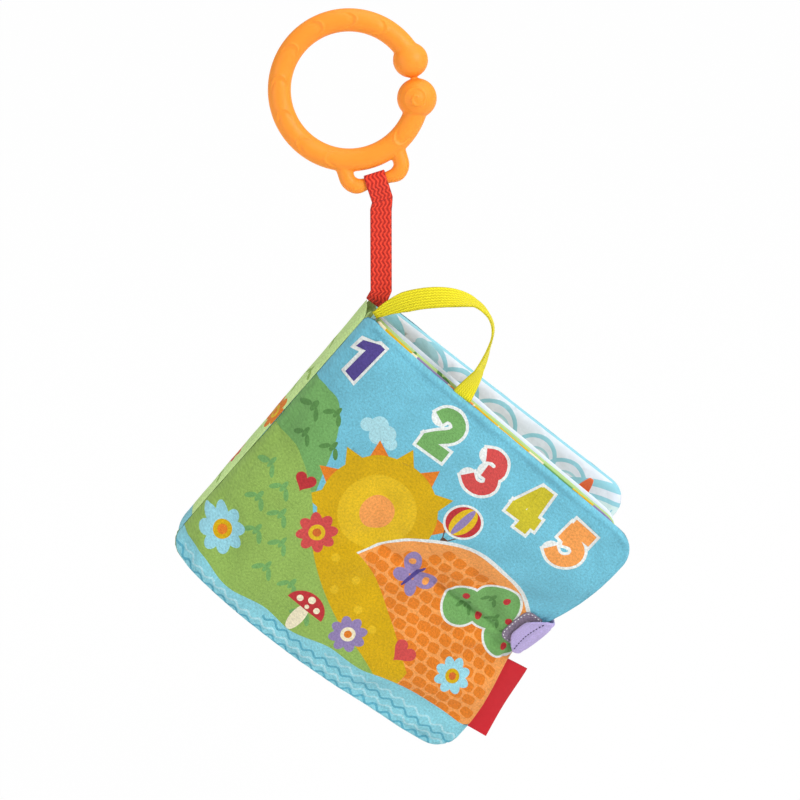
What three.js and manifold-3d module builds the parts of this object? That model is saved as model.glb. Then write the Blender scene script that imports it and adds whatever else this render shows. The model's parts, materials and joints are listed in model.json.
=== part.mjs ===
// Baby activity book of padded cloth, hanging closed from its clip ring. Millimetres, +Z up.
// The origin is the top of the ring's bore, where a hook or a rail holds it, and the front cover faces -Y.
import * as THREE from "three";
import { mergeVertices } from "three/addons/utils/BufferGeometryUtils.js";
import Module from "manifold-3d";

// Ring: one moulding with a ball and a disc at its two ends, and a lug for the strap below
const bore_diameter = 55;
const ring_section = 11;
const ring_lean_deg = 16;
const ball_diameter = 16.7;
const disc_diameter = 18.9;
const ball_bearing_deg = 26;
const end_inset = 0.7;
const end_gap = 0.37;
const lug_bearing_deg = -72.7;
const lug_section = 5.8;
const slot_length = 19.3;
const slot_height = 3.4;
const lug_root_depth = 4;

// Webbing of the strap and the handle
const webbing_width = 10.3;
const webbing_thickness = 0.9;
const webbing_clearance = 0.3;
const strap_offset_on_bar = -0.5;
const strap_stitch_drop = 10;
const strap_drop = 61.8;
const strap_lean = -0.7;
const strap_foot_run = 7;
const strap_gather_share = 0.8;
const strap_foot_place = 2;

// Book, measured on the closed covers
const cover_length = 176.5;
const cover_height = 157.1;
const cover_loft = 7.6;
const cover_crown = 1.4;
const cover_edge_roll = 6;
const book_roll_deg = 39.15;
const book_shift = -2.25;
const seam_gap = 0.3;
const velour_thickness = 1.2;
const lining_thickness = 0.9;
const cover_top = 1.8;
const cover_root = 0.5;

// How the cloth hangs: the fore edge drops, the foot bellies out and the strap of the tab draws in a waist
const top_edge_drop = 6.5;
const foot_edge_drop = 1.2;
const foot_belly = 6.3;
const foot_narrowing = 1.5;
const back_skew = 3;
const skew_level_share = 0.12;
const waist_depth = 9.3;
const waist_reach = 34;
const waist_drop = 84;
const tab_pull = 5;

// Spine strip between the covers: it bulges out, and its pad is narrower and swells inwards
const spine_width = 14.4;
const spine_bulge = 0.6;
const spine_corner = 2.5;
const spine_setback = 0.9;
const spine_pad_width = 9.9;
const spine_pad_face = 3;
const spine_pad_swell = 1;

// Pages, smaller than the covers and sewn into the spine
const page_margin_fore = 8;
const page_margin_top = 1.6;
const page_margin_foot = 5;
const page_root = 7.4;
const page_face_thickness = 0.8;
const page_film_thickness = 0.5;
const page_film_gap = 0.3;
const page_seam_margin = 0.4;

// Felt shape that stands out of the last page
const felt_width = 13;
const felt_height = 19;
const felt_thickness = 1.6;
const felt_place = 0.793 * cover_length;
const felt_stand = 7;

// Closure tab, sewn into the fore seam of the back cover and led round the fore edges
const tab_width = 25.5;
const tab_thickness = 1.7;
const tab_overlap = 10.5;
const tab_drop = 76.3;
const tab_stand = 1.7;
const tab_turn = 6;
const tab_end_share = 0.65;
const patch_gap = 0.3;
const patch_thickness = 0.7;
const patch_length = 6;
const patch_margin = 3.8;
const hook_drop = 70;
const hook_height = 14;
const loop_drop = 67;
const loop_height = 25.5;

// Label loop in the fore seam of the front cover
const label_length = 42;
const label_width = 10.6;
const label_thickness = 0.9;
const label_drop = 96;

// Handle: its middle line over the top edge as x, y and z in the book's frame, and the turn of its face
const handle_line = [
  [4, -8.2, -0.8],
  [6.5, -9, 6],
  [10.5, -10.5, 14],
  [17, -12, 22.5],
  [25.5, -13.5, 30.2],
  [35.2, -15, 35.3],
  [44, -16.5, 34.7],
  [50.3, -18, 30.2],
  [54.2, -19.5, 21.5],
  [57.3, -21, 11],
  [59, -21.9, -3.2],
];
const handle_twist_deg = [0, 5, 12, 22, 50, 90, 94, 84, 76, 58, 0];
const handle_gather_share = 0.42;
const gather_reach_share = 0.19;

const radians = Math.PI / 180;
const bore_radius = bore_diameter / 2;
const ring_radius = bore_radius + ring_section / 2;

const wasm = await Module();
wasm.setup();

// A closed mesh as a solid that can be joined or cut
function solid_of(geometry) {
  const bare = geometry.clone();
  bare.deleteAttribute("normal");
  bare.deleteAttribute("uv");
  const merged = mergeVertices(bare);
  return new wasm.Manifold(
    new wasm.Mesh({
      numProp: 3,
      vertProperties: merged.attributes.position.array,
      triVerts: new Uint32Array(merged.index.array),
    }),
  );
}

function geometry_of(solid) {
  const mesh = solid.getMesh();
  const geometry = new THREE.BufferGeometry();
  geometry.setAttribute("position", new THREE.BufferAttribute(mesh.vertProperties, 3));
  geometry.setIndex(new THREE.BufferAttribute(mesh.triVerts, 1));
  geometry.computeVertexNormals();
  return geometry;
}

function joined(geometries) {
  const solids = geometries.map(solid_of);
  return geometry_of(solids.reduce((whole, next) => whole.add(next)));
}

// A closed skin over rings of equal count, with a cap point before the first ring and after the last.
// Rings from folded_from on come back over the ones before, and their faces are split the same way.
function skin(rings, first_cap, last_cap, folded_from = Infinity) {
  const count = rings[0].length;
  const points = [first_cap, ...rings.flat(), last_cap];
  const last = points.length - 1;
  const faces = [];
  for (let n = 0; n < count; n++) {
    const next = (n + 1) % count;
    faces.push([0, 1 + next, 1 + n]);
    for (let r = 0; r + 1 < rings.length; r++) {
      const a = 1 + r * count + n;
      const b = 1 + r * count + next;
      if (r < folded_from) {
        faces.push([a, b, a + count]);
        faces.push([b, b + count, a + count]);
      } else {
        faces.push([a, b, b + count]);
        faces.push([a, b + count, a + count]);
      }
    }
    const start = 1 + (rings.length - 1) * count;
    faces.push([start + n, start + next, last]);
  }
  let volume = 0;
  for (const [a, b, c] of faces) {
    volume += points[a].dot(new THREE.Vector3().crossVectors(points[b], points[c]));
  }
  if (volume < 0) faces.forEach((face) => face.reverse());
  const geometry = new THREE.BufferGeometry().setFromPoints(points);
  geometry.setIndex(faces.flat());
  geometry.computeVertexNormals();
  return geometry;
}

function middle_of(points) {
  const sum = points.reduce((total, p) => total.add(p), new THREE.Vector3());
  return sum.divideScalar(points.length);
}

// A flat band: a four-cornered section carried along stations of a centre, a width direction and a face direction
function band(stations, width, thickness) {
  const rings = stations.map(({ centre, across, out, widen = 1 }) => {
    const half_width = across.clone().multiplyScalar((width / 2) * widen);
    const half_thickness = out.clone().multiplyScalar(thickness / 2);
    return [
      centre.clone().add(half_width).add(half_thickness),
      centre.clone().sub(half_width).add(half_thickness),
      centre.clone().sub(half_width).sub(half_thickness),
      centre.clone().add(half_width).sub(half_thickness),
    ];
  });
  return skin(rings, middle_of(rings[0]), middle_of(rings[rings.length - 1]));
}

// Names, colours and finishes
function part(name, geometry, color, roughness) {
  const material = new THREE.MeshStandardMaterial({ color, roughness, metalness: 0 });
  const mesh = new THREE.Mesh(geometry, material);
  mesh.name = name;
  return mesh;
}

const orange_plastic = 0xf58a1f;
const red_webbing = 0xd23a28;
const yellow_webbing = 0xd9cf1e;
const blue_velour = 0x5fc0dc;
const green_velour = 0x8cc66a;
const lilac_velour = 0x9c86c4;
const cream_cloth = 0xf4ead2;
const white_cloth = 0xf1f4f7;
const wadding = 0xf0efeb;
const film = 0xd9dde0;
const orange_felt = 0xf0702a;
const hook_tape = 0xd8d8dc;
const red_satin = 0xcf2230;

// Ring frame: x to the right, y up in the ring's own plane, z towards the viewer, centred on the bore
const ring_group = new THREE.Group();
ring_group.rotation.x = (90 - ring_lean_deg) * radians;
const ring_up = new THREE.Vector3(0, 1, 0).applyEuler(ring_group.rotation);
ring_group.position.copy(ring_up).multiplyScalar(-bore_radius);

function on_ring(bearing, radius) {
  return new THREE.Vector3(Math.cos(bearing) * radius, Math.sin(bearing) * radius, 0);
}

const ball_bearing = ball_bearing_deg * radians;
const end_distance = (ball_diameter + disc_diameter) / 2 + end_gap;
const end_radius = ring_radius - end_inset;
const disc_bearing = ball_bearing - 2 * Math.asin(end_distance / 2 / end_radius);
const lug_bearing = lug_bearing_deg * radians;
const bar_radius = ring_radius + ring_section / 2 + slot_height + lug_section / 2;

function ring_tube() {
  const sides = 14;
  const steps = 34;
  const sweep = 2 * Math.PI - (ball_bearing - disc_bearing);
  const rings = [];
  for (let s = 0; s <= steps; s++) {
    const bearing = ball_bearing + (sweep * s) / steps;
    const ring = [];
    for (let n = 0; n < sides; n++) {
      const turn = (2 * Math.PI * n) / sides;
      const radius = ring_radius + (Math.cos(turn) * ring_section) / 2;
      const point = on_ring(bearing, radius);
      point.z = (Math.sin(turn) * ring_section) / 2;
      ring.push(point);
    }
    rings.push(ring);
  }
  return skin(rings, on_ring(ball_bearing, ring_radius), on_ring(disc_bearing, ring_radius));
}

function ring_end(bearing, diameter) {
  const columns = 16;
  const rows = 11;
  const place = on_ring(bearing, end_radius);
  return new THREE.SphereGeometry(diameter / 2, columns, rows).translate(place.x, place.y, place.z);
}

// The lug is a round bar bent into a U, whose legs run up into the ring
function lug() {
  const sides = 10;
  const corner = (slot_height + lug_section) / 2;
  const half_run = (slot_length + lug_section) / 2;
  const leg_top = -(slot_height / 2 + lug_root_depth + corner / 2);
  const bar_level = slot_height / 2 + lug_section / 2;
  const path = new THREE.CurvePath();
  const at = (x, y) => new THREE.Vector3(x, y, 0);
  path.add(new THREE.LineCurve3(at(-half_run, leg_top), at(-half_run, bar_level - corner)));
  path.add(
    new THREE.QuadraticBezierCurve3(
      at(-half_run, bar_level - corner),
      at(-half_run, bar_level),
      at(corner - half_run, bar_level),
    ),
  );
  path.add(
    new THREE.LineCurve3(at(corner - half_run, bar_level), at(half_run - corner, bar_level)),
  );
  path.add(
    new THREE.QuadraticBezierCurve3(
      at(half_run - corner, bar_level),
      at(half_run, bar_level),
      at(half_run, bar_level - corner),
    ),
  );
  path.add(new THREE.LineCurve3(at(half_run, bar_level - corner), at(half_run, leg_top)));
  const bar_steps = 30;
  const rings = [];
  for (let s = 0; s <= bar_steps; s++) {
    const centre = path.getPointAt(s / bar_steps);
    const along = path.getTangentAt(s / bar_steps);
    const side = new THREE.Vector3(-along.y, along.x, 0);
    const ring = [];
    for (let n = 0; n < sides; n++) {
      const turn = (2 * Math.PI * n) / sides;
      const point = centre.clone().addScaledVector(side, (Math.cos(turn) * lug_section) / 2);
      point.z = (Math.sin(turn) * lug_section) / 2;
      ring.push(point);
    }
    rings.push(ring);
  }
  const shape = skin(rings, path.getPointAt(0), path.getPointAt(1));
  // In the lug's frame y points outward, so it is turned onto the lug's bearing
  const slot_centre = on_ring(lug_bearing, ring_radius + (ring_section + slot_height) / 2);
  shape.rotateZ(lug_bearing - Math.PI / 2);
  return shape.translate(slot_centre.x, slot_centre.y, 0);
}

ring_group.add(
  part(
    "link_ring",
    joined([
      ring_tube(),
      ring_end(ball_bearing, ball_diameter),
      ring_end(disc_bearing, disc_diameter),
      lug(),
    ]),
    orange_plastic,
    0.45,
  ),
);
ring_group.updateMatrixWorld(true);

// Strap: a loop round the lug's bar, stitched shut below it, whose doubled tail runs down to the spine
const bar_centre = on_ring(lug_bearing, bar_radius).applyMatrix4(ring_group.matrixWorld);
const bar_along = on_ring(lug_bearing + Math.PI / 2, 1).applyEuler(ring_group.rotation);
const down = new THREE.Vector3(0, 0, -1);
const loop_down = down.clone().addScaledVector(bar_along, -down.dot(bar_along)).normalize();
const loop_out = new THREE.Vector3().crossVectors(loop_down, bar_along);
const strap_top = bar_centre.clone().addScaledVector(bar_along, strap_offset_on_bar);
const book_corner = new THREE.Vector3(
  strap_top.x + book_shift,
  strap_top.y,
  strap_top.z - strap_drop,
);

function strap_loop() {
  const inner_radius = lug_section / 2 + webbing_clearance;
  const outer_radius = inner_radius + webbing_thickness;
  const shape = new THREE.Shape();
  const lean = Math.asin((outer_radius - webbing_thickness) / strap_stitch_drop);
  shape.absarc(0, 0, outer_radius, -lean, Math.PI + lean, false);
  shape.lineTo(-webbing_thickness, -strap_stitch_drop);
  shape.lineTo(webbing_thickness, -strap_stitch_drop);
  shape.closePath();
  const eye = new THREE.Path();
  const eye_drop = strap_stitch_drop - 2 * webbing_thickness;
  eye.absarc(0, 0, inner_radius, -lean, Math.PI + lean, false);
  eye.lineTo(-webbing_clearance / 2, -eye_drop);
  eye.lineTo(webbing_clearance / 2, -eye_drop);
  eye.closePath();
  shape.holes.push(eye);
  const loop = new THREE.ExtrudeGeometry(shape, {
    depth: webbing_width,
    bevelEnabled: false,
    curveSegments: 12,
  });
  loop.translate(0, 0, -webbing_width / 2);
  const frame = new THREE.Matrix4().makeBasis(
    loop_out,
    loop_down.clone().negate(),
    new THREE.Vector3().crossVectors(loop_out, loop_down.clone().negate()),
  );
  frame.setPosition(strap_top);
  return loop.applyMatrix4(frame);
}

function strap_tail() {
  const right = new THREE.Vector3(1, 0, 0);
  const facing = new THREE.Vector3(0, 1, 0);
  const level = bar_along.clone().setY(0).normalize();
  const stitch = strap_top.clone().addScaledVector(loop_down, strap_stitch_drop);
  const start = stitch.clone().addScaledVector(loop_down, -webbing_thickness);
  const straight_top = stitch.clone().addScaledVector(down, webbing_width / 2);
  straight_top.x += strap_lean;
  const along_top = new THREE.Vector3(1, 0, 0).applyAxisAngle(facing, book_roll_deg * radians);
  const up_spine = new THREE.Vector3(0, 0, 1).applyAxisAngle(facing, book_roll_deg * radians);
  // The foot is cut along the top edge of the book and ends on the spine
  const foot = book_corner
    .clone()
    .addScaledVector(along_top, strap_foot_place)
    .addScaledVector(up_spine, seam_gap - cover_top);
  const above_foot = new THREE.Vector3(
    straight_top.x,
    foot.y,
    foot.z + strap_foot_run,
  );
  const stretch = 1 / along_top.x;
  return band(
    [
      { centre: start, across: level, out: facing },
      { centre: straight_top, across: right, out: facing },
      { centre: above_foot, across: right, out: facing },
      { centre: foot, across: along_top, out: facing, widen: stretch * strap_gather_share },
    ],
    webbing_width,
    2 * webbing_thickness,
  );
}

const strap_group = new THREE.Group();
strap_group.add(part("hang_strap", joined([strap_loop(), strap_tail()]), red_webbing, 0.85));

// Book frame: x from the spine to the fore edge, y from front to back, z up along the spine
const book = new THREE.Group();
book.position.copy(book_corner);
book.rotation.y = book_roll_deg * radians;

// The back crease doesn't hang parallel to the front one: towards the foot it lies nearer to the fore edge
const front_root = -8;
const back_root = 8;

function skew(root, drop) {
  const share = (root - front_root) / (back_root - front_root);
  return back_skew * share * ((drop - cover_top) / cover_height - skew_level_share);
}

// Depth of each leaf's middle at its root, past its shoulder and at its fore edge, and the tab's pull on it
const fan_depths = {
  front_cover: { root: front_root, shoulder: -18.5, fore: -29, run: 5, pull_share: 1 },
  page_1: { root: -3.3, shoulder: -11, fore: -21.5, run: 12, pull_share: 0.8 },
  page_2: { root: 0, shoulder: -6, fore: -17.5, run: 12, pull_share: 0.5 },
  page_3: { root: 3.3, shoulder: 1.5, fore: -12.5, run: 12, pull_share: 0.3 },
  back_cover: { root: back_root, shoulder: 18.5, fore: 29, run: 5, pull_share: -0.4 },
};

// Where the spine's pad and lining face the pages, at a depth between the creases
function pad_face(y) {
  return spine_pad_face - spine_pad_swell * (y / (spine_pad_width / 2)) ** 2;
}

// A cover starts at its crease, and a page's tongue starts on the spine's lining
function leaf_start(fan) {
  const at_crease = Math.abs(fan.root) > spine_pad_width / 2;
  return at_crease ? cover_root : pad_face(fan.root) + lining_thickness + 2 * seam_gap;
}

function near_tab(drop) {
  return Math.exp(-(((drop - waist_drop) / waist_reach) ** 2));
}

function middle_depth(fan, x, drop) {
  const settled = 1 - Math.exp(-Math.max(x - leaf_start(fan), 0) / fan.run);
  const outward = (fan.fore - fan.shoulder) * (x / cover_length);
  const pull = tab_pull * fan.pull_share * near_tab(drop) * (x / cover_length) ** 2;
  return fan.root + (fan.shoulder - fan.root) * settled + outward + pull;
}

// The flat cut of the cloth moved to where it hangs
function draped(x, drop) {
  const along = x / cover_length;
  const below = (drop - cover_top) / cover_height;
  const waist = waist_depth * along * along * near_tab(drop);
  const narrowing = foot_narrowing * along * Math.max(below, 0) ** 2;
  const belly_share = Math.sin(Math.PI * Math.min(Math.max(along, 0), 1) ** 0.8);
  const edge_fall = along * (top_edge_drop * (1 - below) + foot_edge_drop * below);
  const fall = edge_fall + foot_belly * belly_share * below ** 3;
  return { x: x - waist - narrowing, drop: drop + fall };
}

// Points round a rounded rectangle set in from its cut edge, in the same order for every inset
const corner_steps = 3;
const edge_steps = { top: 6, fore: 10, foot: 6, spine: 5 };
const least_corner = 0.4;

function cut_ring(cut, inset) {
  const left = cut.x + inset;
  const right = cut.x + cut.length - inset;
  const top = cut.drop + inset;
  const foot = cut.drop + cut.height - inset;
  const fore_radius = Math.max(cut.fore_corner - inset, least_corner);
  const root_radius = Math.max(cut.root_corner - inset, least_corner);
  const points = [];
  const corner = (x, drop, radius, from) => {
    for (let s = 0; s <= corner_steps; s++) {
      const turn = (from + (90 * s) / corner_steps) * radians;
      points.push([x + radius * Math.cos(turn), drop + radius * Math.sin(turn)]);
    }
  };
  const edge = (from, to, steps) => {
    for (let s = 1; s < steps; s++) {
      const share = s / steps;
      points.push([from[0] + (to[0] - from[0]) * share, from[1] + (to[1] - from[1]) * share]);
    }
  };
  corner(left + root_radius, top + root_radius, root_radius, 180);
  edge([left + root_radius, top], [right - fore_radius, top], edge_steps.top);
  corner(right - fore_radius, top + fore_radius, fore_radius, 270);
  edge([right, top + fore_radius], [right, foot - fore_radius], edge_steps.fore);
  corner(right - fore_radius, foot - fore_radius, fore_radius, 0);
  edge([right - fore_radius, foot], [left + root_radius, foot], edge_steps.foot);
  corner(left + root_radius, foot - root_radius, root_radius, 90);
  edge([left, foot - root_radius], [left, top + root_radius], edge_steps.spine);
  return points;
}

// A point of a leaf: its place on the flat cut, and how far it stands before or behind the leaf's middle
function leaf_point(fan, [x, drop], offset) {
  const hung = draped(x, drop);
  const level = hung.x + skew(fan.root, drop);
  return new THREE.Vector3(level, middle_depth(fan, x, drop) + offset, -hung.drop);
}

// A skin between two offsets of a leaf's middle, each a function of the inset from the cut edge and of x
function leaf_body(fan, cut, insets, near, far, tongue = 0) {
  const reach = insets[insets.length - 1];
  const ring_at = (inset, offset) =>
    cut_ring(cut, inset).map((p) => {
      const at_root = inset === 0 && p[0] <= cut.x + least_corner;
      return leaf_point(fan, at_root ? [p[0] - tongue, p[1]] : p, offset(inset, p[0]));
    });
  const centre = [cut.x + cut.length / 2, cut.drop + cut.height / 2];
  const inward = [...insets].reverse();
  const rings = [
    ...inward.map((inset) => ring_at(inset, near)),
    ...insets.map((inset) => ring_at(inset, far)),
  ];
  const deepest = Math.min(cut.height / 2, 2 * reach);
  return skin(
    rings,
    leaf_point(fan, centre, near(deepest, centre[0])),
    leaf_point(fan, centre, far(deepest, centre[0])),
    insets.length,
  );
}

const cover_cut = {
  x: cover_root,
  drop: cover_top,
  length: cover_length - cover_root,
  height: cover_height,
  fore_corner: 14,
  root_corner: 5,
};
const cover_insets = [0, 1.4, 3.2, 6, 12, 26, 50];

// How far a cover's outer and lining faces stand from its middle, from the seam to the crown
function cover_face(inset) {
  const seam = seam_gap / 2 + velour_thickness;
  const share = Math.min(inset / cover_edge_roll, 1);
  const roll = Math.sqrt(1 - (1 - share) ** 2);
  const crown_share = Math.min(inset / (cover_height / 2), 1) ** 0.5;
  return seam + (cover_loft / 2 - seam) * roll + cover_crown * crown_share * share;
}

function cover(name, outer_color, lining_color) {
  const fan = fan_depths[name];
  const outward = Math.sign(fan.root);
  const group = new THREE.Group();
  const pad_insets = cover_insets.slice(2);
  const outer = leaf_body(
    fan,
    cover_cut,
    cover_insets,
    (inset) => outward * cover_face(inset),
    (inset) => outward * (cover_face(inset) - velour_thickness),
  );
  const pad = leaf_body(
    fan,
    cover_cut,
    pad_insets,
    (inset) => outward * (cover_face(inset) - velour_thickness - seam_gap),
    (inset) => -outward * (cover_face(inset) - velour_thickness - seam_gap),
  );
  const lining = leaf_body(
    fan,
    cover_cut,
    cover_insets,
    (inset) => -outward * (cover_face(inset) - velour_thickness + lining_thickness),
    (inset) => -outward * (cover_face(inset) - velour_thickness),
  );
  group.add(part(`${name}_outer`, outer, outer_color, 0.95));
  group.add(part(`${name}_pad`, pad, wadding, 1));
  group.add(part(`${name}_lining`, lining, lining_color, 0.9));
  return group;
}

book.add(cover("front_cover", blue_velour, cream_cloth));
book.add(cover("back_cover", blue_velour, white_cloth));

// Handle: both feet end along the top seam of the front cover and the arch between them turns edge on
function handle() {
  const steps = 26;
  const knots = handle_line.length - 1;
  const curve = new THREE.CatmullRomCurve3(
    handle_line.map((p) => new THREE.Vector3(...p)),
    false,
    "centripetal",
  );
  const rim = leaf_point(fan_depths.front_cover, [handle_line[knots][0], cover_top], 0)
    .sub(leaf_point(fan_depths.front_cover, [handle_line[0][0], cover_top], 0))
    .setY(handle_line[knots][1] - handle_line[0][1])
    .normalize();
  const stations = [];
  for (let s = 0; s <= steps; s++) {
    const share = s / steps;
    const low = Math.min(Math.floor(share * knots), knots - 1);
    const part_way = share * knots - low;
    const twist_deg =
      handle_twist_deg[low] + (handle_twist_deg[low + 1] - handle_twist_deg[low]) * part_way;
    const twist = twist_deg * radians;
    const along = curve.getTangent(share);
    const side = new THREE.Vector3().crossVectors(along, new THREE.Vector3(0, 1, 0)).normalize();
    const depthward = new THREE.Vector3().crossVectors(side, along);
    const across = side.multiplyScalar(Math.cos(twist)).addScaledVector(depthward, Math.sin(twist));
    if (s === 0 || s === steps) {
      across.copy(rim).multiplyScalar(Math.sign(side.dot(rim)));
    }
    const gathered = Math.max(1 - share / gather_reach_share, 0);
    stations.push({
      centre: curve.getPoint(share),
      across,
      out: new THREE.Vector3().crossVectors(along, across).normalize(),
      widen: 1 - (1 - handle_gather_share) * gathered,
    });
  }
  return band(stations, webbing_width, webbing_thickness);
}

book.add(part("handle_ribbon", handle(), yellow_webbing, 0.85));

// Label: a folded satin loop whose ends are caught in the fore seam
const label_cut = {
  x: cover_length + seam_gap,
  drop: label_drop,
  length: label_width,
  height: label_length,
  fore_corner: label_thickness,
  root_corner: label_thickness,
};
const label_side = label_thickness / 2;
book.add(
  part(
    "side_label",
    leaf_body(
      fan_depths.front_cover,
      label_cut,
      [0],
      () => -label_side,
      () => label_side,
    ),
    red_satin,
    0.5,
  ),
);

// Closure tab: at each level it leaves the back seam, passes the fore edges and lies over the front cover
function tab_path(drop) {
  const front = fan_depths.front_cover;
  const front_edge = leaf_point(front, [cover_length, drop], 0);
  const back_edge = leaf_point(fan_depths.back_cover, [cover_length, drop], 0);
  const lift = 3 * patch_gap + 2 * patch_thickness + tab_thickness / 2;
  const over_front = (inset) =>
    leaf_point(front, [cover_length - inset, drop], -cover_face(inset) - lift);
  const beside = (edge, forward, out) =>
    new THREE.Vector3(edge.x + out, edge.y + forward, edge.z);
  return [
    beside(back_edge, 0, tab_thickness / 2 + seam_gap),
    beside(back_edge, -tab_turn / 3, tab_stand),
    beside(back_edge, -tab_turn, tab_stand),
    beside(back_edge, (front_edge.y - back_edge.y) / 2, tab_stand),
    beside(front_edge, tab_turn, tab_stand),
    beside(front_edge, 0, tab_stand),
    beside(front_edge, -tab_turn / 2, tab_stand * 0.9),
    over_front(patch_margin / 2),
    over_front(patch_margin),
    over_front((patch_margin + tab_overlap) / 2),
    over_front(tab_overlap),
  ];
}

function tab() {
  const columns = 5;
  const centre_path = tab_path(tab_drop);
  const last = centre_path.length - 1;
  const narrowing = 4;
  const paths_at = (share, step) => {
    const end = Math.max(step - (last - narrowing), 0) / narrowing;
    const half = (tab_width / 2) * (1 - (1 - tab_end_share) * end * end);
    return tab_path(tab_drop + half * share);
  };
  const rings = centre_path.map((_, step) => {
    const outer = [];
    const inner = [];
    for (let c = 0; c < columns; c++) {
      const path = paths_at((2 * c) / (columns - 1) - 1, step);
      const before = path[Math.max(step - 1, 0)];
      const after = path[Math.min(step + 1, last)];
      const along = after.clone().sub(before).setZ(0).normalize();
      const out = new THREE.Vector3(-along.y, along.x, 0).multiplyScalar(-tab_thickness / 2);
      outer.push(path[step].clone().add(out));
      inner.push(path[step].clone().sub(out));
    }
    return [...outer, ...inner.reverse()];
  });
  return skin(rings, middle_of(rings[0]), middle_of(rings[last]));
}

book.add(part("closure_tab", tab(), lilac_velour, 0.9));

// Hook and loop: the loop patch is sewn on the cover, the hook patch on the inner side of the tab's end
function patch(drop, height, level) {
  const cut = {
    x: cover_length - patch_margin - patch_length,
    drop,
    length: patch_length,
    height,
    fore_corner: patch_thickness,
    root_corner: patch_thickness,
  };
  const foot = patch_gap + level * (patch_thickness + patch_gap);
  return leaf_body(
    fan_depths.front_cover,
    cut,
    [0],
    (_, x) => -cover_face(cover_length - x) - foot - patch_thickness,
    (_, x) => -cover_face(cover_length - x) - foot,
  );
}

book.add(part("loop_patch", patch(loop_drop, loop_height, 0), hook_tape, 0.9));
book.add(part("hook_patch", patch(hook_drop, hook_height, 1), hook_tape, 0.9));

// Pages: two cloth faces over a crackling film, whose tongue is sewn into the spine
const page_cut = {
  x: page_root,
  drop: cover_top + page_margin_top,
  length: cover_length - page_margin_fore - page_root,
  height: cover_height - page_margin_top - page_margin_foot,
  fore_corner: 12,
  root_corner: 1,
};
const page_insets = [0, 14, 44];

function page(name, front_color, back_color) {
  const fan = fan_depths[name];
  const group = new THREE.Group();
  const film_face = page_film_thickness / 2;
  const inner = film_face + page_film_gap;
  const outer = inner + page_face_thickness;
  const plate = (near, far, insets = page_insets, tongue = 0) =>
    leaf_body(
      fan,
      page_cut,
      insets,
      () => near,
      () => far,
      tongue,
    );
  const film_insets = [page_insets[0], page_seam_margin, ...page_insets.slice(1)];
  const tongue = page_root - leaf_start(fan);
  group.add(part(`${name}_front`, plate(-outer, -inner), front_color, 0.9));
  group.add(part(`${name}_film`, plate(-film_face, film_face, film_insets, tongue), film, 0.4));
  group.add(part(`${name}_back`, plate(inner, outer), back_color, 0.9));
  return group;
}

const page_colors = {
  page_1: [cream_cloth, white_cloth],
  page_2: [green_velour, white_cloth],
  page_3: [white_cloth, white_cloth],
};
for (const [name, [front_color, back_color]] of Object.entries(page_colors)) {
  book.add(page(name, front_color, back_color));
}

// Felt shape on the back of the last page, standing out of its top edge
const page_side = page_film_thickness / 2 + page_film_gap + page_face_thickness;
const felt_cut = {
  x: felt_place - felt_width / 2,
  drop: page_cut.drop - felt_stand,
  length: felt_width,
  height: felt_height,
  fore_corner: felt_width / 3,
  root_corner: felt_width / 3,
};
book.add(
  part(
    "page_3_felt",
    leaf_body(
      fan_depths.page_3,
      felt_cut,
      [0],
      () => page_side + page_film_gap,
      () => page_side + page_film_gap + felt_thickness,
    ),
    orange_felt,
    0.95,
  ),
);

// Spine: an outer strip, a thin pad and a lining, across the depth between the two creases
function spine_plate(width, insets, near, far) {
  const cut = {
    x: -width / 2,
    drop: cover_top,
    length: width,
    height: cover_height,
    fore_corner: spine_corner,
    root_corner: spine_corner,
  };
  const place = (level, y, drop) => new THREE.Vector3(level(y) + skew(y, drop), y, -drop);
  const ring_at = (inset, level) =>
    cut_ring(cut, inset).map(([y, drop]) => place(level, y, drop));
  const centre = (level) => place(level, 0, cover_top + cover_height / 2);
  return skin(
    [
      ...[...insets].reverse().map((inset) => ring_at(inset, near)),
      ...insets.map((inset) => ring_at(inset, far)),
    ],
    centre(near),
    centre(far),
    insets.length,
  );
}

const back_face = (y) => -spine_bulge * (1 - (y / (spine_width / 2)) ** 2) - spine_setback;
const spine_step = (spine_width - spine_pad_width) / 2;
const spine_insets = [0, spine_step, 2 * spine_step];
book.add(
  part(
    "spine_outer",
    spine_plate(spine_width, spine_insets, back_face, (y) => back_face(y) + velour_thickness),
    green_velour,
    0.95,
  ),
);
book.add(
  part(
    "spine_pad",
    spine_plate(
      spine_pad_width,
      spine_insets.slice(0, 2),
      (y) => back_face(y) + velour_thickness + seam_gap,
      pad_face,
    ),
    wadding,
    1,
  ),
);
book.add(
  part(
    "spine_lining",
    spine_plate(
      spine_pad_width,
      spine_insets.slice(0, 2),
      (y) => pad_face(y) + seam_gap,
      (y) => pad_face(y) + seam_gap + lining_thickness,
    ),
    white_cloth,
    0.9,
  ),
);

export default (() => {
  const root = new THREE.Group();
  root.add(ring_group, strap_group, book);
  return root;
})();
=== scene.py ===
"""A hanging baby activity book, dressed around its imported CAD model.

Lengths are in millimetres in the book's own frame: x from the spine to the fore edge, y from front to
back and drop down the spine. The scene is in metres."""

import json
import math
import random
from collections import namedtuple

import bmesh
import bpy
import numpy as np
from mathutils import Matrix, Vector
from mathutils.geometry import delaunay_2d_cdt


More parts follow.
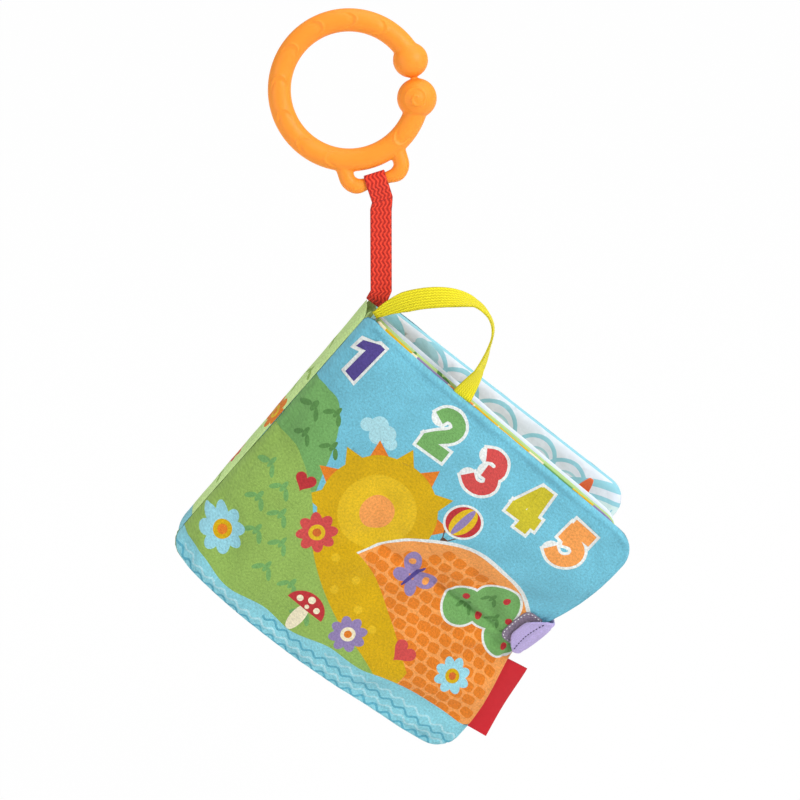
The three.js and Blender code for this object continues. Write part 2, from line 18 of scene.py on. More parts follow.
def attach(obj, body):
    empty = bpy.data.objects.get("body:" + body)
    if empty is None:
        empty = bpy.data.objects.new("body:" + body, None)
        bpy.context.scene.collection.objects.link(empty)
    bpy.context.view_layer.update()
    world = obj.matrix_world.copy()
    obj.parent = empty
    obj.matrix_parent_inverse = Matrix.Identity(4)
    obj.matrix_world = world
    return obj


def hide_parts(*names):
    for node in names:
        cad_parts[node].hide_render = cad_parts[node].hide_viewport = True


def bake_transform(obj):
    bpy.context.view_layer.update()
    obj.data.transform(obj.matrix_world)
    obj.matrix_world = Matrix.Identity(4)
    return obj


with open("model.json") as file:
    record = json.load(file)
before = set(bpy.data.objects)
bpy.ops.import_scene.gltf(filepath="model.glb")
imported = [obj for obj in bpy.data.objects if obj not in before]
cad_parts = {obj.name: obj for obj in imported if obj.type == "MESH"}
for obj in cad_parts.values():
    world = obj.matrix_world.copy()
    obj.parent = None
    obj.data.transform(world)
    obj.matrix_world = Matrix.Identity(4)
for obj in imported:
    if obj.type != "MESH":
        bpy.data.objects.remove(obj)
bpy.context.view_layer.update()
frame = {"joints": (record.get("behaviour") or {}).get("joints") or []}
joints = {joint["name"]: joint for joint in frame["joints"]}

# Driving sizes of the book, as in the CAD model
MM = 0.001
FRONT_ROOT = -8
BACK_ROOT = 8
HINGE_DROP = 81
COVER_LENGTH = 176.5
COVER_HEIGHT = 157.1
COVER_LOFT = 7.6
COVER_CROWN = 1.4
COVER_EDGE_ROLL = 6
COVER_TOP = 1.8
COVER_ROOT = 0.5
TOP_EDGE_DROP = 6.5
FOOT_EDGE_DROP = 1.2
FOOT_BELLY = 6.3
FOOT_NARROWING = 1.5
BACK_SKEW = 3
SKEW_LEVEL_SHARE = 0.12
WAIST_DEPTH = 9.3
WAIST_REACH = 34
WAIST_DROP = 84
TAB_PULL = 5
SEAM_GAP = 0.3
SPINE_WIDTH = 14.4
SPINE_BULGE = 0.6
SPINE_SETBACK = 0.9
SPINE_SEAM = 1.2
SPINE_SHORTER = 2.5
SPINE_PAD_WIDTH = 9.9
SPINE_PAD_FACE = 3
LINING_THICKNESS = 0.9
PAGE_ROOT = 7.4
PAGE_MARGIN_FORE = 8
PAGE_MARGIN_TOP = 1.6
PAGE_MARGIN_FOOT = 5
PAGE_SIDE = 1.35
PAGE_FILM_GAP = 0.3
FELT_WIDTH = 13
FELT_HEIGHT = 19
FELT_TAPER = 0.78
FELT_THICKNESS = 1.6
FELT_PLACE = 0.805 * COVER_LENGTH
FELT_STAND = 6.2
TAB_WIDTH = 25.5
TAB_THICKNESS = 1.7
TAB_OVERLAP = 10.5
TAB_DROP = 76.3
TAB_STAND = 1.7
TAB_TURN = 6
TAB_END_SHARE = 0.3
TAB_BULGE = 2.4
PATCH_GAP = 0.3
PATCH_THICKNESS = 0.7
PATCH_LENGTH = 6
PATCH_MARGIN = 3.8
LABEL_LENGTH = 42
LABEL_WIDTH = 10.6
LABEL_DROP = 96
LABEL_HALF_THICKNESS = 0.42
WEBBING_WIDTH = 10.3
WEBBING_THICKNESS = 0.9

# Depth of each leaf's middle at its root, past its shoulder and at its fore edge, the reach and the
# start of its shoulder, and its share of the tab's pull
Fan = namedtuple("Fan", "root shoulder fore run start pull")
FANS = {
    "front_cover": Fan(FRONT_ROOT, -18.5, -29, 5, COVER_ROOT, 1),
    "page_1": Fan(-3.3, -11, -21.5, 12, 4.1, 0.8),
    "page_2": Fan(0, -6, -17.5, 12, 4.5, 0.5),
    "page_3": Fan(3.3, 1.5, -12.5, 12, 4.1, 0.3),
    "back_cover": Fan(BACK_ROOT, 18.5, 29, 5, COVER_ROOT, -0.4),
}

# The book's frame in the scene, from the front cover's hinge
spine_up = -Vector(joints["front_cover_open"]["axis"]).normalized()
backward = Vector((0, 1, 0))
foreward = backward.cross(spine_up)
hinge_point = Vector(joints["front_cover_open"]["pos_m"])
book_corner = hinge_point - backward * FRONT_ROOT * MM + spine_up * HINGE_DROP * MM


def to_scene(points):
    """Points x, y, z of the book's frame, in millimetres, as points of the scene."""
    axes = np.array([foreward, backward, spine_up])
    return np.array(book_corner) + np.asarray(points, float) @ axes * MM


def scene_point(x, y, drop):
    return Vector(to_scene([[x, y, -drop]])[0])


# How the cloth hangs


def near_tab(drop):
    return np.exp(-(((drop - WAIST_DROP) / WAIST_REACH) ** 2))


def skew(root, drop):
    share = (root - FRONT_ROOT) / (BACK_ROOT - FRONT_ROOT)
    return BACK_SKEW * share * ((drop - COVER_TOP) / COVER_HEIGHT - SKEW_LEVEL_SHARE)


def middle_depth(fan, x, drop):
    settled = 1 - np.exp(-np.maximum(x - fan.start, 0) / fan.run)
    outward = (fan.fore - fan.shoulder) * (x / COVER_LENGTH)
    pull = TAB_PULL * fan.pull * near_tab(drop) * (x / COVER_LENGTH) ** 2
    return fan.root + (fan.shoulder - fan.root) * settled + outward + pull


def leaf(fan, x, drop, offset):
    """Points of a hanging leaf from places on its flat cut and their offset from its middle."""
    x, drop = np.asarray(x, float), np.asarray(drop, float)
    along = x / COVER_LENGTH
    below = (drop - COVER_TOP) / COVER_HEIGHT
    waist = WAIST_DEPTH * along * along * near_tab(drop)
    narrowing = FOOT_NARROWING * along * np.maximum(below, 0) ** 2
    belly = np.sin(np.pi * np.clip(along, 0, 1) ** 0.8)
    edge_fall = along * (TOP_EDGE_DROP * (1 - below) + FOOT_EDGE_DROP * below)
    fall = edge_fall + FOOT_BELLY * belly * below ** 3
    level = x - waist - narrowing + skew(fan.root, drop)
    return np.stack([level, middle_depth(fan, x, drop) + offset, -(drop + fall)], -1)


def cover_face(inset):
    """How far a cover's face stands from its middle, from the seam to the crown."""
    share = np.clip(inset / COVER_EDGE_ROLL, 0, 1)
    roll = np.sqrt(np.maximum(1 - (1 - share) ** 2, 0))
    crown = COVER_CROWN * np.clip(inset / (COVER_HEIGHT / 2), 0, 1) ** 0.5 * share
    return COVER_LOFT / 2 * roll + crown


class Cut:
    """A flat cut of cloth: a rectangle whose corners at the root and at the fore edge are rounded."""

    def __init__(self, x, drop, length, height, fore_corner, root_corner):
        self.x, self.drop, self.length, self.height = x, drop, length, height
        self.fore_corner, self.root_corner = fore_corner, root_corner

    def inset(self, x, drop):
        """How far a place lies inside the edge."""
        across = np.asarray(x, float) - (self.x + self.length / 2)
        radius = np.where(across > 0, self.fore_corner, self.root_corner)
        side = np.abs(across) - self.length / 2 + radius
        level = np.abs(np.asarray(drop, float) - (self.drop + self.height / 2)) - self.height / 2 + radius
        round_corner = np.hypot(np.maximum(side, 0), np.maximum(level, 0))
        return radius - round_corner - np.minimum(np.maximum(side, level), 0)

    def outline(self, inset, step):
        """Places round the edge, set in by inset and about step apart."""
        left, right = self.x + inset, self.x + self.length - inset
        top, foot = self.drop + inset, self.drop + self.height - inset
        fore = max(self.fore_corner - inset, 0.2)
        root = max(self.root_corner - inset, 0.2)
        corners = [
            (left + root, top + root, root, 180),
            (right - fore, top + fore, fore, 270),
            (right - fore, foot - fore, fore, 0),
            (left + root, foot - root, root, 90),
        ]
        turned = []
        for x, drop, radius, start in corners:
            count = max(3, round(radius * math.pi / 2 / step))
            for k in range(count + 1):
                turn = math.radians(start + 90 * k / count)
                turned.append((x + radius * math.cos(turn), drop + radius * math.sin(turn)))
        places = []
        for here, after in zip(turned, turned[1:] + turned[:1]):
            count = max(1, round(math.dist(here, after) / step))
            places += [tuple(h + (a - h) * k / count for h, a in zip(here, after)) for k in range(count)]
        return places


COVER_CUT = Cut(COVER_ROOT, COVER_TOP, COVER_LENGTH - COVER_ROOT, COVER_HEIGHT, 14, 5)
PAGE_CUT = Cut(
    PAGE_ROOT,
    COVER_TOP + PAGE_MARGIN_TOP,
    COVER_LENGTH - PAGE_MARGIN_FORE - PAGE_ROOT,
    COVER_HEIGHT - PAGE_MARGIN_TOP - PAGE_MARGIN_FOOT,
    12,
    1,
)


# Colours, written as on a screen


def linear(screen):
    shares = [int(screen[k : k + 2], 16) / 255 for k in (0, 2, 4)]
    return tuple(s / 12.92 if s <= 0.04045 else ((s + 0.055) / 1.055) ** 2.4 for s in shares)


COLOURS = {
    "sky": "6fb9ce",
    "pale hatch": "cfe8e8",
    "pale sky": "a6d5de",
    "water": "86c9d6",
    "deep water": "5aa7bd",
    "white": "dfe3e0",
    "paper white": "dde6f0",
    "ice": "93cddb",
    "gold": "cfa603",
    "amber": "dcb61c",
    "orange": "dd7b20",
    "light orange": "ea9a50",
    "deep orange": "cc6528",
    "felt orange": "ea6a38",
    "light green": "8fb156",
    "green": "70a55e",
    "dark green": "568747",
    "pale green": "b3d088",
    "spine green": "c6e596",
    "red": "b93035",
    "coral": "cb4a48",
    "purple": "50438a",
    "lavender": "8f7eae",
    "lilac": "bbabdc",
    "grey lilac": "8c7d92",
    "cream": "ece2c2",
    "brown": "5d4030",
    "lime": "c6b92c",
    # Tape colours come in pairs: the tape's colour on its ridges, and a darker copy that is painted shade
    # in its grooves
    "strap red": "f8482f",
    "strap shade red": "b21c12",
    "handle yellow": "f8ec20",
    "handle shade yellow": "d9ca12",
    "label red": "c4202b",
    "ring orange": "fb962c",
    "thread purple": "3a2d5e",
}


# Shapes of the prints, as lists of places on the flat cut


def moved(places, x, drop, turn=0.0):
    cos, sin = math.cos(math.radians(turn)), math.sin(math.radians(turn))
    return [(x + a * cos - b * sin, drop + a * sin + b * cos) for a, b in places]


def scaled(places, size):
    return [(a * size, b * size) for a, b in places]


def placed(shapes, colour, x, drop, turn=0.0):
    """Shapes of one colour, turned and moved to a place."""
    return [(moved(shape, x, drop, turn), colour) for shape in shapes]


def oval(x, drop, wide, high, turn=0.0, points=26):
    turns = [math.tau * k / points for k in range(points)]
    return moved([(wide * math.cos(t), high * math.sin(t)) for t in turns], x, drop, turn)


def disc(x, drop, radius, points=26):
    return oval(x, drop, radius, radius, points=points)


def discs(places, radius, colour, points):
    return [(disc(x, drop, radius, points), colour) for x, drop in places]


BLOCK_POINTS = 16
BLOCK_ROUNDNESS = 0.6


def block(x, drop, wide, high, turn):
    """A rounded block."""
    places = []
    for k in range(BLOCK_POINTS):
        t = math.tau * (k + 0.5) / BLOCK_POINTS
        shares = (math.cos(t), math.sin(t))
        across, down = (math.copysign(abs(share) ** BLOCK_ROUNDNESS, share) for share in shares)
        places.append((across * wide, down * high))
    return moved(places, x, drop, turn)


def spline(p, q, r, s, t):
    """A coordinate at t between q and r, on the smooth line through p, q, r and s."""
    return 0.5 * (2 * q + (r - p) * t + (2 * p - 5 * q + 4 * r - s) * t**2 + (3 * q - p - 3 * r + s) * t**3)


def smooth(corners, steps):
    """A smooth line through the corners, in steps between two of them."""
    last = len(corners) - 1
    places = []
    for k in range(last):
        around = [corners[min(max(k + n, 0), last)] for n in (-1, 0, 1, 2)]
        for step in range(steps):
            places.append(tuple(spline(*four, step / steps) for four in zip(*around)))
    return places + [tuple(corners[-1])]


def signed_area(shape):
    """Twice the area, above zero where the points turn from +x towards +drop."""
    return sum(a[0] * b[1] - b[0] * a[1] for a, b in zip(shape, shape[1:] + shape[:1]))


MITRE_LIMIT = 0.45


def grown(places, by):
    """The shape with its edge moved outward."""
    out = math.copysign(by, signed_area(places))
    edge = []
    for before, here, after in zip(places[-1:] + places[:-1], places, places[1:] + places[:1]):
        first = Vector(here) - Vector(before)
        second = Vector(after) - Vector(here)
        normal = first.normalized() + second.normalized()
        normal = Vector((normal.y, -normal.x)).normalized()
        side = Vector((first.y, -first.x)).normalized()
        reach = out / max(normal.dot(side), MITRE_LIMIT)
        edge.append((here[0] + normal.x * reach, here[1] + normal.y * reach))
    return edge


def stroke(line, width):
    """A line drawn with a flat pen."""
    points = [Vector(p) for p in line]
    left, right = [], []
    for k, here in enumerate(points):
        along = (points[min(k + 1, len(points) - 1)] - points[max(k - 1, 0)]).normalized()
        side = Vector((-along.y, along.x)) * width / 2
        left.append(tuple(here + side))
        right.append(tuple(here - side))
    return left + right[::-1]


def run_past(line, overrun):
    """A line drawn out at both ends."""
    points = [Vector(p) for p in line]
    points[0] += (points[0] - points[1]).normalized() * overrun
    points[-1] += (points[-1] - points[-2]).normalized() * overrun
    return points


def chain(line, width, overrun):
    """A wide line in convex pieces, for bends tighter than the line is wide."""
    points = run_past(line, overrun)
    pieces = [stroke([here, after], width) for here, after in zip(points, points[1:])]
    return pieces + [disc(here.x, here.y, width / 2, 16) for here in points[1:-1]]


DIGIT_PEN = 6.6
DIGIT_BORDER = 1.5
DIGIT_ONE = [(-5.8, -5.6), (0.6, -11), (3.9, -11), (3.9, 11), (-2.1, 11), (-2.1, -3.6), (-5.8, -0.8)]
DIGIT_LINES = {
    2: [
        smooth([(-6, -4.6), (-3.8, -8.4), (0.8, -9.2), (4.8, -6.2), (4, -1.4), (-1.2, 3.6), (-5, 8)], 3),
        [(-7.4, 9.2), (7.8, 9.2)],
    ],
    3: [
        smooth([(-6.2, -7), (-2.4, -9.2), (2.4, -8.8), (4.6, -5.2), (2.6, -1.6), (-1.8, -0.6)], 3),
        smooth([(-1.6, -0.8), (3, -0.4), (5.6, 4), (3.2, 8.2), (-2, 9.2), (-6.6, 6.6)], 3),
    ],
    4: [[(3.4, -12.4), (3.4, 12.4)], [(2.4, -10.4), (-5.6, 4.2)], [(-8.4, 5), (9, 5)]],
    5: [
        [(-6.2, -9.2), (7, -9.2)],
        [(-3.6, -9.6), (-4.2, 0.6)],
        smooth([(-4.8, -0.8), (0.2, -3), (5, -0.8), (5.8, 4), (2.6, 8.2), (-2.2, 9.2), (-6.8, 7)], 3),
    ],
}


def digit(number, x, drop, turn, colour):
    """A plain number with a white border."""
    if number == 1:
        border, inner = [grown(DIGIT_ONE, DIGIT_BORDER)], [DIGIT_ONE]
    else:
        lines = DIGIT_LINES[number]
        wide = DIGIT_PEN + 2 * DIGIT_BORDER
        border = [piece for line in lines for piece in chain(line, wide, DIGIT_BORDER)]
        inner = [stroke(line, DIGIT_PEN) for line in lines]
    return placed(border, "white", x, drop, turn) + placed(inner, colour, x, drop, turn)


def cloud(x, drop, size, colour):
    """Overlapping puffs."""
    puffs = [(-1.3, 0.2, 0.6), (-0.5, -0.35, 0.8), (0.5, -0.2, 0.75), (1.25, 0.25, 0.55), (0, 0.35, 0.8)]
    return [(disc(x + a * size, drop + b * size, r * size), colour) for a, b, r in puffs]


def flower(x, drop, size, petals, colour, centre="gold", middle="orange"):
    made = []
    for k in range(petals):
        turn = 360 * k / petals
        a, b = math.cos(math.radians(turn)), math.sin(math.radians(turn))
        petal = oval(x + a * size * 0.62, drop + b * size * 0.62, size * 0.45, size * 0.3, turn, 18)
        made.append((petal, colour))
    return made + [(disc(x, drop, size * 0.42), centre), (disc(x, drop, size * 0.22, 18), middle)]


def sun(x, drop, radius):
    """Rays of two colours round three rings."""
    made = []
    for k in range(14):
        turn = math.tau * k / 14
        corners = [(turn - 0.17, radius * 0.98), (turn, radius * 1.26), (turn + 0.17, radius * 0.98)]
        ray = [(x + reach * math.cos(t), drop + reach * math.sin(t)) for t, reach in corners]
        made.append((ray, "orange" if k % 2 else "gold"))
    for share, colour, points in ((1, "gold", 60), (0.66, "amber", 48), (0.3, "light orange", 36)):
        made.append((disc(x, drop, radius * share, points), colour))
    return made


def heart(x, drop, size, turn):
    places = []
    for k in range(30):
        t = math.tau * k / 30
        b = -(13 * math.cos(t) - 5 * math.cos(2 * t) - 2 * math.cos(3 * t) - math.cos(4 * t)) / 16
        places.append((math.sin(t) ** 3, b))
    return moved(scaled(places, size), x, drop, turn)


def sprig(x, drop, size, colour, turn=0.0):
    """Three small leaves."""
    leaves = [(-0.8, -0.1, -50), (0, -0.7, -90), (0.8, -0.1, -130)]
    shapes = [oval(a * size, b * size, size * 0.75, size * 0.3, t, 14) for a, b, t in leaves]
    return placed(shapes, colour, x, drop, turn)


def sprigs(places, size, colour):
    return [shape for x, drop in places for shape in sprig(x, drop, size, colour)]


def balloon(x, drop, size):
    basket = [(-0.22, 1.45), (0.22, 1.45), (0.17, 1.75), (-0.17, 1.75)]
    lines = [[(-0.6, 0.75), (-0.2, 1.45)], [(0.6, 0.75), (0.2, 1.45)]]
    made = placed([scaled(stroke(line, 0.07), size) for line in lines], "brown", x, drop)
    made += discs([(x, drop)], size + 1.2, "white", 40) + discs([(x, drop)], size, "red", 40)
    made.append((oval(x, drop, size * 0.62, size, points=36), "amber"))
    made.append((oval(x, drop, size * 0.24, size, points=30), "lavender"))
    return made + placed([scaled(basket, size)], "brown", x, drop)


def toadstool(x, drop, size):
    turns = [math.pi * (1 + k / 20) for k in range(21)]
    cap = [(math.cos(t) * size, math.sin(t) * size * 0.85) for t in turns]
    made = [(oval(x, drop + size * 0.5, size * 0.32, size * 0.75), "cream"), (moved(cap, x, drop), "red")]
    spots = [(-0.5, -0.3, 0.16), (0, -0.55, 0.18), (0.5, -0.28, 0.15), (0.02, -0.16, 0.11)]
    return made + [(disc(x + a * size, drop + b * size, r * size, 16), "cream") for a, b, r in spots]


def butterfly(x, drop, size, turn, colour):
    wings = []
    for a, b, wide, high, tilt in ((0.7, -0.4, 0.72, 0.5, -35), (0.5, 0.5, 0.48, 0.36, 30)):
        for side in (-1, 1):
            wings.append(oval(side * a * size, b * size, wide * size, high * size, side * tilt, 22))
    spots = [disc(side * 0.75 * size, -0.4 * size, 0.22 * size, 14) for side in (-1, 1)]
    body = oval(0, 0, 0.13 * size, 0.85 * size, 0, 16)
    made = placed(wings, colour, x, drop, turn) + placed(spots, "light orange", x, drop, turn)
    return made + placed([body], "purple", x, drop, turn)


def waves(left, right, drop, rise, length, thickness, colour):
    """A wavy line of one thickness."""
    count = int((right - left) / (length / 8))
    runs = [(right - left) * k / count for k in range(count + 1)]
    line = [(left + run, drop + rise * math.sin(math.tau * run / length)) for run in runs]
    return [(stroke(line, thickness), colour)]


CREST_STEPS = 8


def hill(corners, foot, colour, border=None):
    """Ground under a smooth crest, closed at the foot."""
    crest = smooth(corners, CREST_STEPS)
    shape = crest + [(corners[-1][0], foot), (corners[0][0], foot)]
    made = [(shape, colour)]
    if border:
        made.insert(0, ([(x, drop - border) for x, drop in crest] + shape[-2:], "white"))
    return made


def under(corners, x):
    """How far down a crest lies at x."""
    return float(np.interp(x, [c[0] for c in corners], [c[1] for c in corners]))


ORANGE_CREST = [(54, 172), (64, 118), (84, 80), (114, 59), (148, 61), (184, 80)]
GOLD_CREST = [(10, 140), (34, 108), (58, 96), (84, 98), (108, 112), (132, 130)]
GREEN_CREST = [(-6, 78), (14, 74), (36, 88), (58, 111), (84, 127), (112, 137), (142, 151)]
FAR_CREST = [(-6, 46), (11, 42), (24, 54), (34, 80), (46, 116)]
WATER_CREST = [
    (-6, 150), (14, 147), (32, 150), (52, 146), (72, 147), (92, 142), (112, 142), (132, 138), (182, 137),
]
COBBLE_LENGTH = 7.4
COBBLE_HEIGHT = 6.2

PRINT_FOOT = 175
WATER_FOOT = 178


def cobbles(crest, left, right, foot):
    """Rounded stones in staggered rows, below a crest."""
    seed = random.Random(4)
    shapes = []
    for row in range(int(foot / COBBLE_HEIGHT)):
        for column in range(int((right - left) / COBBLE_LENGTH)):
            x = left + (column + 0.5 * (row % 2)) * COBBLE_LENGTH + seed.uniform(-0.4, 0.4)
            drop = row * COBBLE_HEIGHT + seed.uniform(-0.3, 0.3)
            if drop > under(crest, x) + 5:
                wide, high = COBBLE_LENGTH * 0.44 + seed.uniform(-0.3, 0.3), COBBLE_HEIGHT * 0.42
                shapes.append((block(x, drop, wide, high, seed.uniform(-10, 10)), "orange"))
    return shapes


def front_print():
    """Hills with a sun, a bush, flowers and water, under a sky with a balloon and numbers."""
    shapes = cloud(40, 40, 6, "pale sky")
    shapes += hill(FAR_CREST, PRINT_FOOT, "green")
    shapes += sprigs([(7, 56), (17, 50), (27, 64), (12, 68)], 4.2, "dark green")
    shapes += sun(66, 73, 30) + balloon(101, 49, 8.5)
    shapes += hill(ORANGE_CREST, PRINT_FOOT, "light orange", border=2.2)
    shapes += cobbles(ORANGE_CREST, 62, 180, 170)
    crowns = ((149, 77, 13), (165, 86, 11), (136, 86, 10.5))
    for border, colour in ((1.3, "white"), (0, "green")):
        shapes += [(disc(x, drop, radius + border, 36), colour) for x, drop, radius in crowns]
    shapes += sprigs([(145, 76), (155, 84), (138, 87), (166, 84)], 3.6, "dark green")
    shapes += discs([(151, 70), (161, 78), (134, 81), (147, 86), (169, 90)], 1.9, "red", 16)
    shapes += hill(GOLD_CREST, PRINT_FOOT, "gold")
    spots = [(50, 106), (66, 104), (82, 107), (60, 116), (76, 117), (92, 118), (104, 122)]
    shapes += discs(spots, 2.2, "amber", 18)
    shapes += hill(GREEN_CREST, PRINT_FOOT, "light green")
    shapes += sprigs([(9, 92), (22, 96), (16, 108), (30, 107), (26, 121)], 4.4, "green")
    shapes += sprigs([(40, 118), (42, 132), (58, 131), (72, 138)], 4.4, "green")
    shapes += flower(13, 131, 11.5, 8, "ice", "gold", "orange")
    shapes += flower(50, 100, 10, 8, "coral", "amber", "deep orange")
    shapes += flower(96, 131, 9, 8, "lavender", "cream") + toadstool(71, 134, 10.5)
    shapes += [(heart(28, 84, 5.5, -12), "red"), (heart(124, 122, 6.5, 14), "coral")]
    shapes += butterfly(104, 88, 9, 18, "lavender")
    shapes += flower(152, 118, 9, 8, "ice", "gold", "deep orange")
    shapes += hill(WATER_CREST, WATER_FOOT, "water")
    for left, level, colour in (
        (94, 145.5, "pale sky"),
        (58, 149.5, "deep water"),
        (4, 153, "pale sky"),
        (-2, 156.4, "deep water"),
    ):
        shapes += waves(left, 180, level, 1.1, 8, 1.1, colour)
    for number, x, drop, turn, colour in (
        (1, 10, 18.5, 4, "purple"),
        (2, 63.5, 20, -3, "green"),
        (3, 92, 22, 2, "coral"),
        (4, 119.5, 21.5, -3, "lime"),
        (5, 147.5, 24, 3, "light orange"),
    ):
        shapes += digit(number, x, drop, turn, colour)
    return shapes


def back_print():
    """A rainbow over hills with flowers."""
    shapes = cloud(42, 30, 8, "pale sky") + cloud(120, 24, 7, "pale sky")
    bands = ("coral", "light orange", "amber", "green", "lavender", "sky")
    for number, colour in enumerate(bands):
        shapes += discs([(96, 100)], 44 - 6 * number, colour, 60)
    shapes += hill([(-6, 96), (30, 84), (70, 98), (110, 92), (150, 104), (182, 94)], WATER_FOOT, "green")
    crest = [(-6, 124), (40, 112), (90, 124), (140, 114), (182, 126)]
    shapes += hill(crest, WATER_FOOT, "light green")
    shapes += sprigs([(20, 110), (52, 106), (90, 112), (132, 108), (158, 118)], 4.4, "dark green")
    shapes += flower(34, 132, 11, 8, "lavender") + flower(78, 136, 9, 8, "coral", "amber")
    shapes += flower(126, 132, 10, 8, "white") + [(heart(156, 138, 6, 10), "red")]
    crest = [(-6, 149), (20, 146), (50, 150), (80, 147), (110, 151), (140, 148), (182, 150)]
    return shapes + hill(crest, WATER_FOOT, "water") + waves(-2, 180, 153, 0.9, 15, 1.0, "pale sky")


def arc(x, drop, radius, start, sweep, width, colour):
    turns = [math.radians(start + sweep * k / 14) for k in range(15)]
    line = [(x + radius * math.cos(t), drop + radius * math.sin(t)) for t in turns]
    return (stroke(line, width), colour)


def crescents(seed_number, left, right, top, foot):
    """Pale blue arcs in rows on a light ground, each with a finer one inside it."""
    seed = random.Random(seed_number)
    shapes = []
    columns, rows = 6, 7
    for row in range(rows):
        for column in range(columns):
            x = left + (right - left) * (column + 0.5 * (row % 2)) / columns + seed.uniform(-3, 3)
            radius = seed.uniform(10, 14)
            drop = top + (foot - top) * row / rows + radius + seed.uniform(-1, 3)
            shapes.append(arc(x, drop, radius, 190, 150, 2.2, "ice"))
            shapes.append(arc(x + 2, drop + 1, radius - 4.4, 200, 130, 1.3, "pale sky"))
    return shapes


def corner_prints():
    """Blue patches by the spine, and fine lines in the fore corner under a curved border."""
    shapes = [
        (oval(12, 9, 17, 8, 12), "ice"),
        (oval(19, 11, 12, 4, 10), "pale sky"),
        (oval(42, 7, 8, 3.4, 8), "pale sky"),
    ]
    for drop, wide, high, colour in (
        (34, 44, 33, "ice"),
        (35, 40.5, 30, "paper white"),
        (36, 37, 27, "ice"),
        (37, 35.4, 25.6, "pale hatch"),
    ):
        shapes.append((oval(178, drop, wide, high, points=60), colour))
    lines = [[(146 + 2.4 * k, 24 - 0.9 * k), (147 + 2.4 * k, 52)] for k in range(12)]
    return shapes + [(stroke(line, 0.9), "ice") for line in lines]


def meadow_print():
    """A row of flowers along the top edge, and a hill with two more."""
    shapes = []
    for x, radius, colour in (
        (22, 7, "amber"),
        (44, 9, "lavender"),
        (62, 6, "light orange"),
        (78, 6, "amber"),
        (97, 9, "amber"),
        (112, 5, "cream"),
        (126, 9, "green"),
        (142, 6, "amber"),
        (158, 8, "lavender"),
    ):
        shapes += flower(x, 8, radius + 3, 7, colour, colour, "cream")
    shapes += hill([(-6, 90), (50, 80), (110, 94), (182, 84)], WATER_FOOT, "pale green")
    return shapes + flower(60, 120, 16, 8, "coral", "amber") + flower(120, 128, 13, 8, "lavender", "amber")


def leafy_print():
    """Sprigs all over a green hill."""
    shapes = hill([(-6, 60), (60, 48), (130, 66), (182, 52)], WATER_FOOT, "green")
    seed = random.Random(9)
    for column in range(9):
        for row in range(8):
            x, drop = 14 + column * 19 + seed.uniform(-4, 4), 12 + row * 19 + seed.uniform(-4, 4)
            shapes += sprig(x, drop, 5, "green" if row % 2 else "dark green", seed.uniform(-40, 40))
    return shapes


def spine_print():
    """Two flowers that come round from the cover, sprigs, and water at the foot."""
    shapes = flower(-3, 74, 9, 7, "orange", "amber") + flower(4, 106, 7, 7, "coral", "amber")
    shapes += sprigs([(2, 30), (-3, 48), (3, 60), (-2, 120)], 3.4, "light green")
    return shapes + [([(-12, 143), (0, 141), (12, 144), (12, 176), (-12, 176)], "water")]


# Meshes


def add_piece(name, mesh, material, body, slot, *nodes):
    """A piece that rides on a body when one is given, and the nodes that it replaces."""
    piece = bpy.data.objects.new(name, mesh)
    bpy.context.scene.collection.objects.link(piece)
    mesh.materials.append(material)
    mesh.shade_smooth()
    if body:
        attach(piece, body)
    if nodes:
        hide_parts(*nodes)
    return piece


def mesh_of(name, points, faces, flat=None):
    """A mesh in the scene's metres. flat holds each point's place on the cloth, for the patterns."""
    mesh = bpy.data.meshes.new(name)
    mesh.from_pydata([tuple(p) for p in points], [], faces)
    if flat is not None:
        layer = mesh.uv_layers.new(name="Flat")
        corners = np.zeros(len(mesh.loops), int)
        mesh.loops.foreach_get("vertex_index", corners)
        layer.data.foreach_set("uv", np.asarray(flat, np.float32)[corners].ravel())
    mesh.update()
    return mesh


ROW_SHARE = 0.87


def printed_mesh(name, cut, place, shapes, ground, step, rims=(), flip=False):
    """Cloth cut to shape and printed, one colour to a face. place turns the flat cut into points."""
    outline = cut.outline(0, step)
    flat = list(outline)
    polygons = [list(range(len(outline)))]
    colours = [ground]
    for shape, colour in shapes:
        polygons.append(list(range(len(flat), len(flat) + len(shape))))
        flat += shape if signed_area(shape) > 0 else shape[::-1]
        colours.append(colour)
    for inset in rims:
        flat += cut.outline(inset, step)
    inner = max(rims, default=0) + step * 0.6
    for row in range(int(cut.height / (step * ROW_SHARE)) + 2):
        for column in range(int(cut.length / step) + 2):
            x = cut.x + (column + 0.5 * (row % 2)) * step
            drop = cut.drop + row * step * ROW_SHARE
            if cut.inset(x, drop) > inner:
                flat.append((x, drop))
    made = delaunay_2d_cdt([Vector(p) for p in flat], [], polygons, 0, 1e-4, True)
    points, faces, origins = made[0], made[2], made[5]
    kept = [(face, max(origin)) for face, origin in zip(faces, origins) if 0 in origin]
    places = np.array([tuple(p) for p in points])
    used = sorted({corner for face, _ in kept for corner in face})
    number = {corner: k for k, corner in enumerate(used)}
    places = places[used]
    turned = -1 if flip else 1
    numbered = [[number[corner] for corner in face][::turned] for face, _ in kept]
    mesh = mesh_of(name, place(places[:, 0], places[:, 1]), numbered, places)
    layer = mesh.color_attributes.new("Print", "FLOAT_COLOR", "CORNER")
    shown = np.array([(*linear(COLOURS[colours[top]]), 1) for _, top in kept], np.float32)
    layer.data.foreach_set("color", np.repeat(shown, 3, axis=0).ravel())
    return mesh


# Padding: a Cloth simulation swells each face between its sewn edges

SWELL_STEP = 3.5
SWELL_CAP = 2.6
SWELL_FRAMES = 9
SWELL_GROWTH = 0.035
SEWN_WIDTH = 2.2


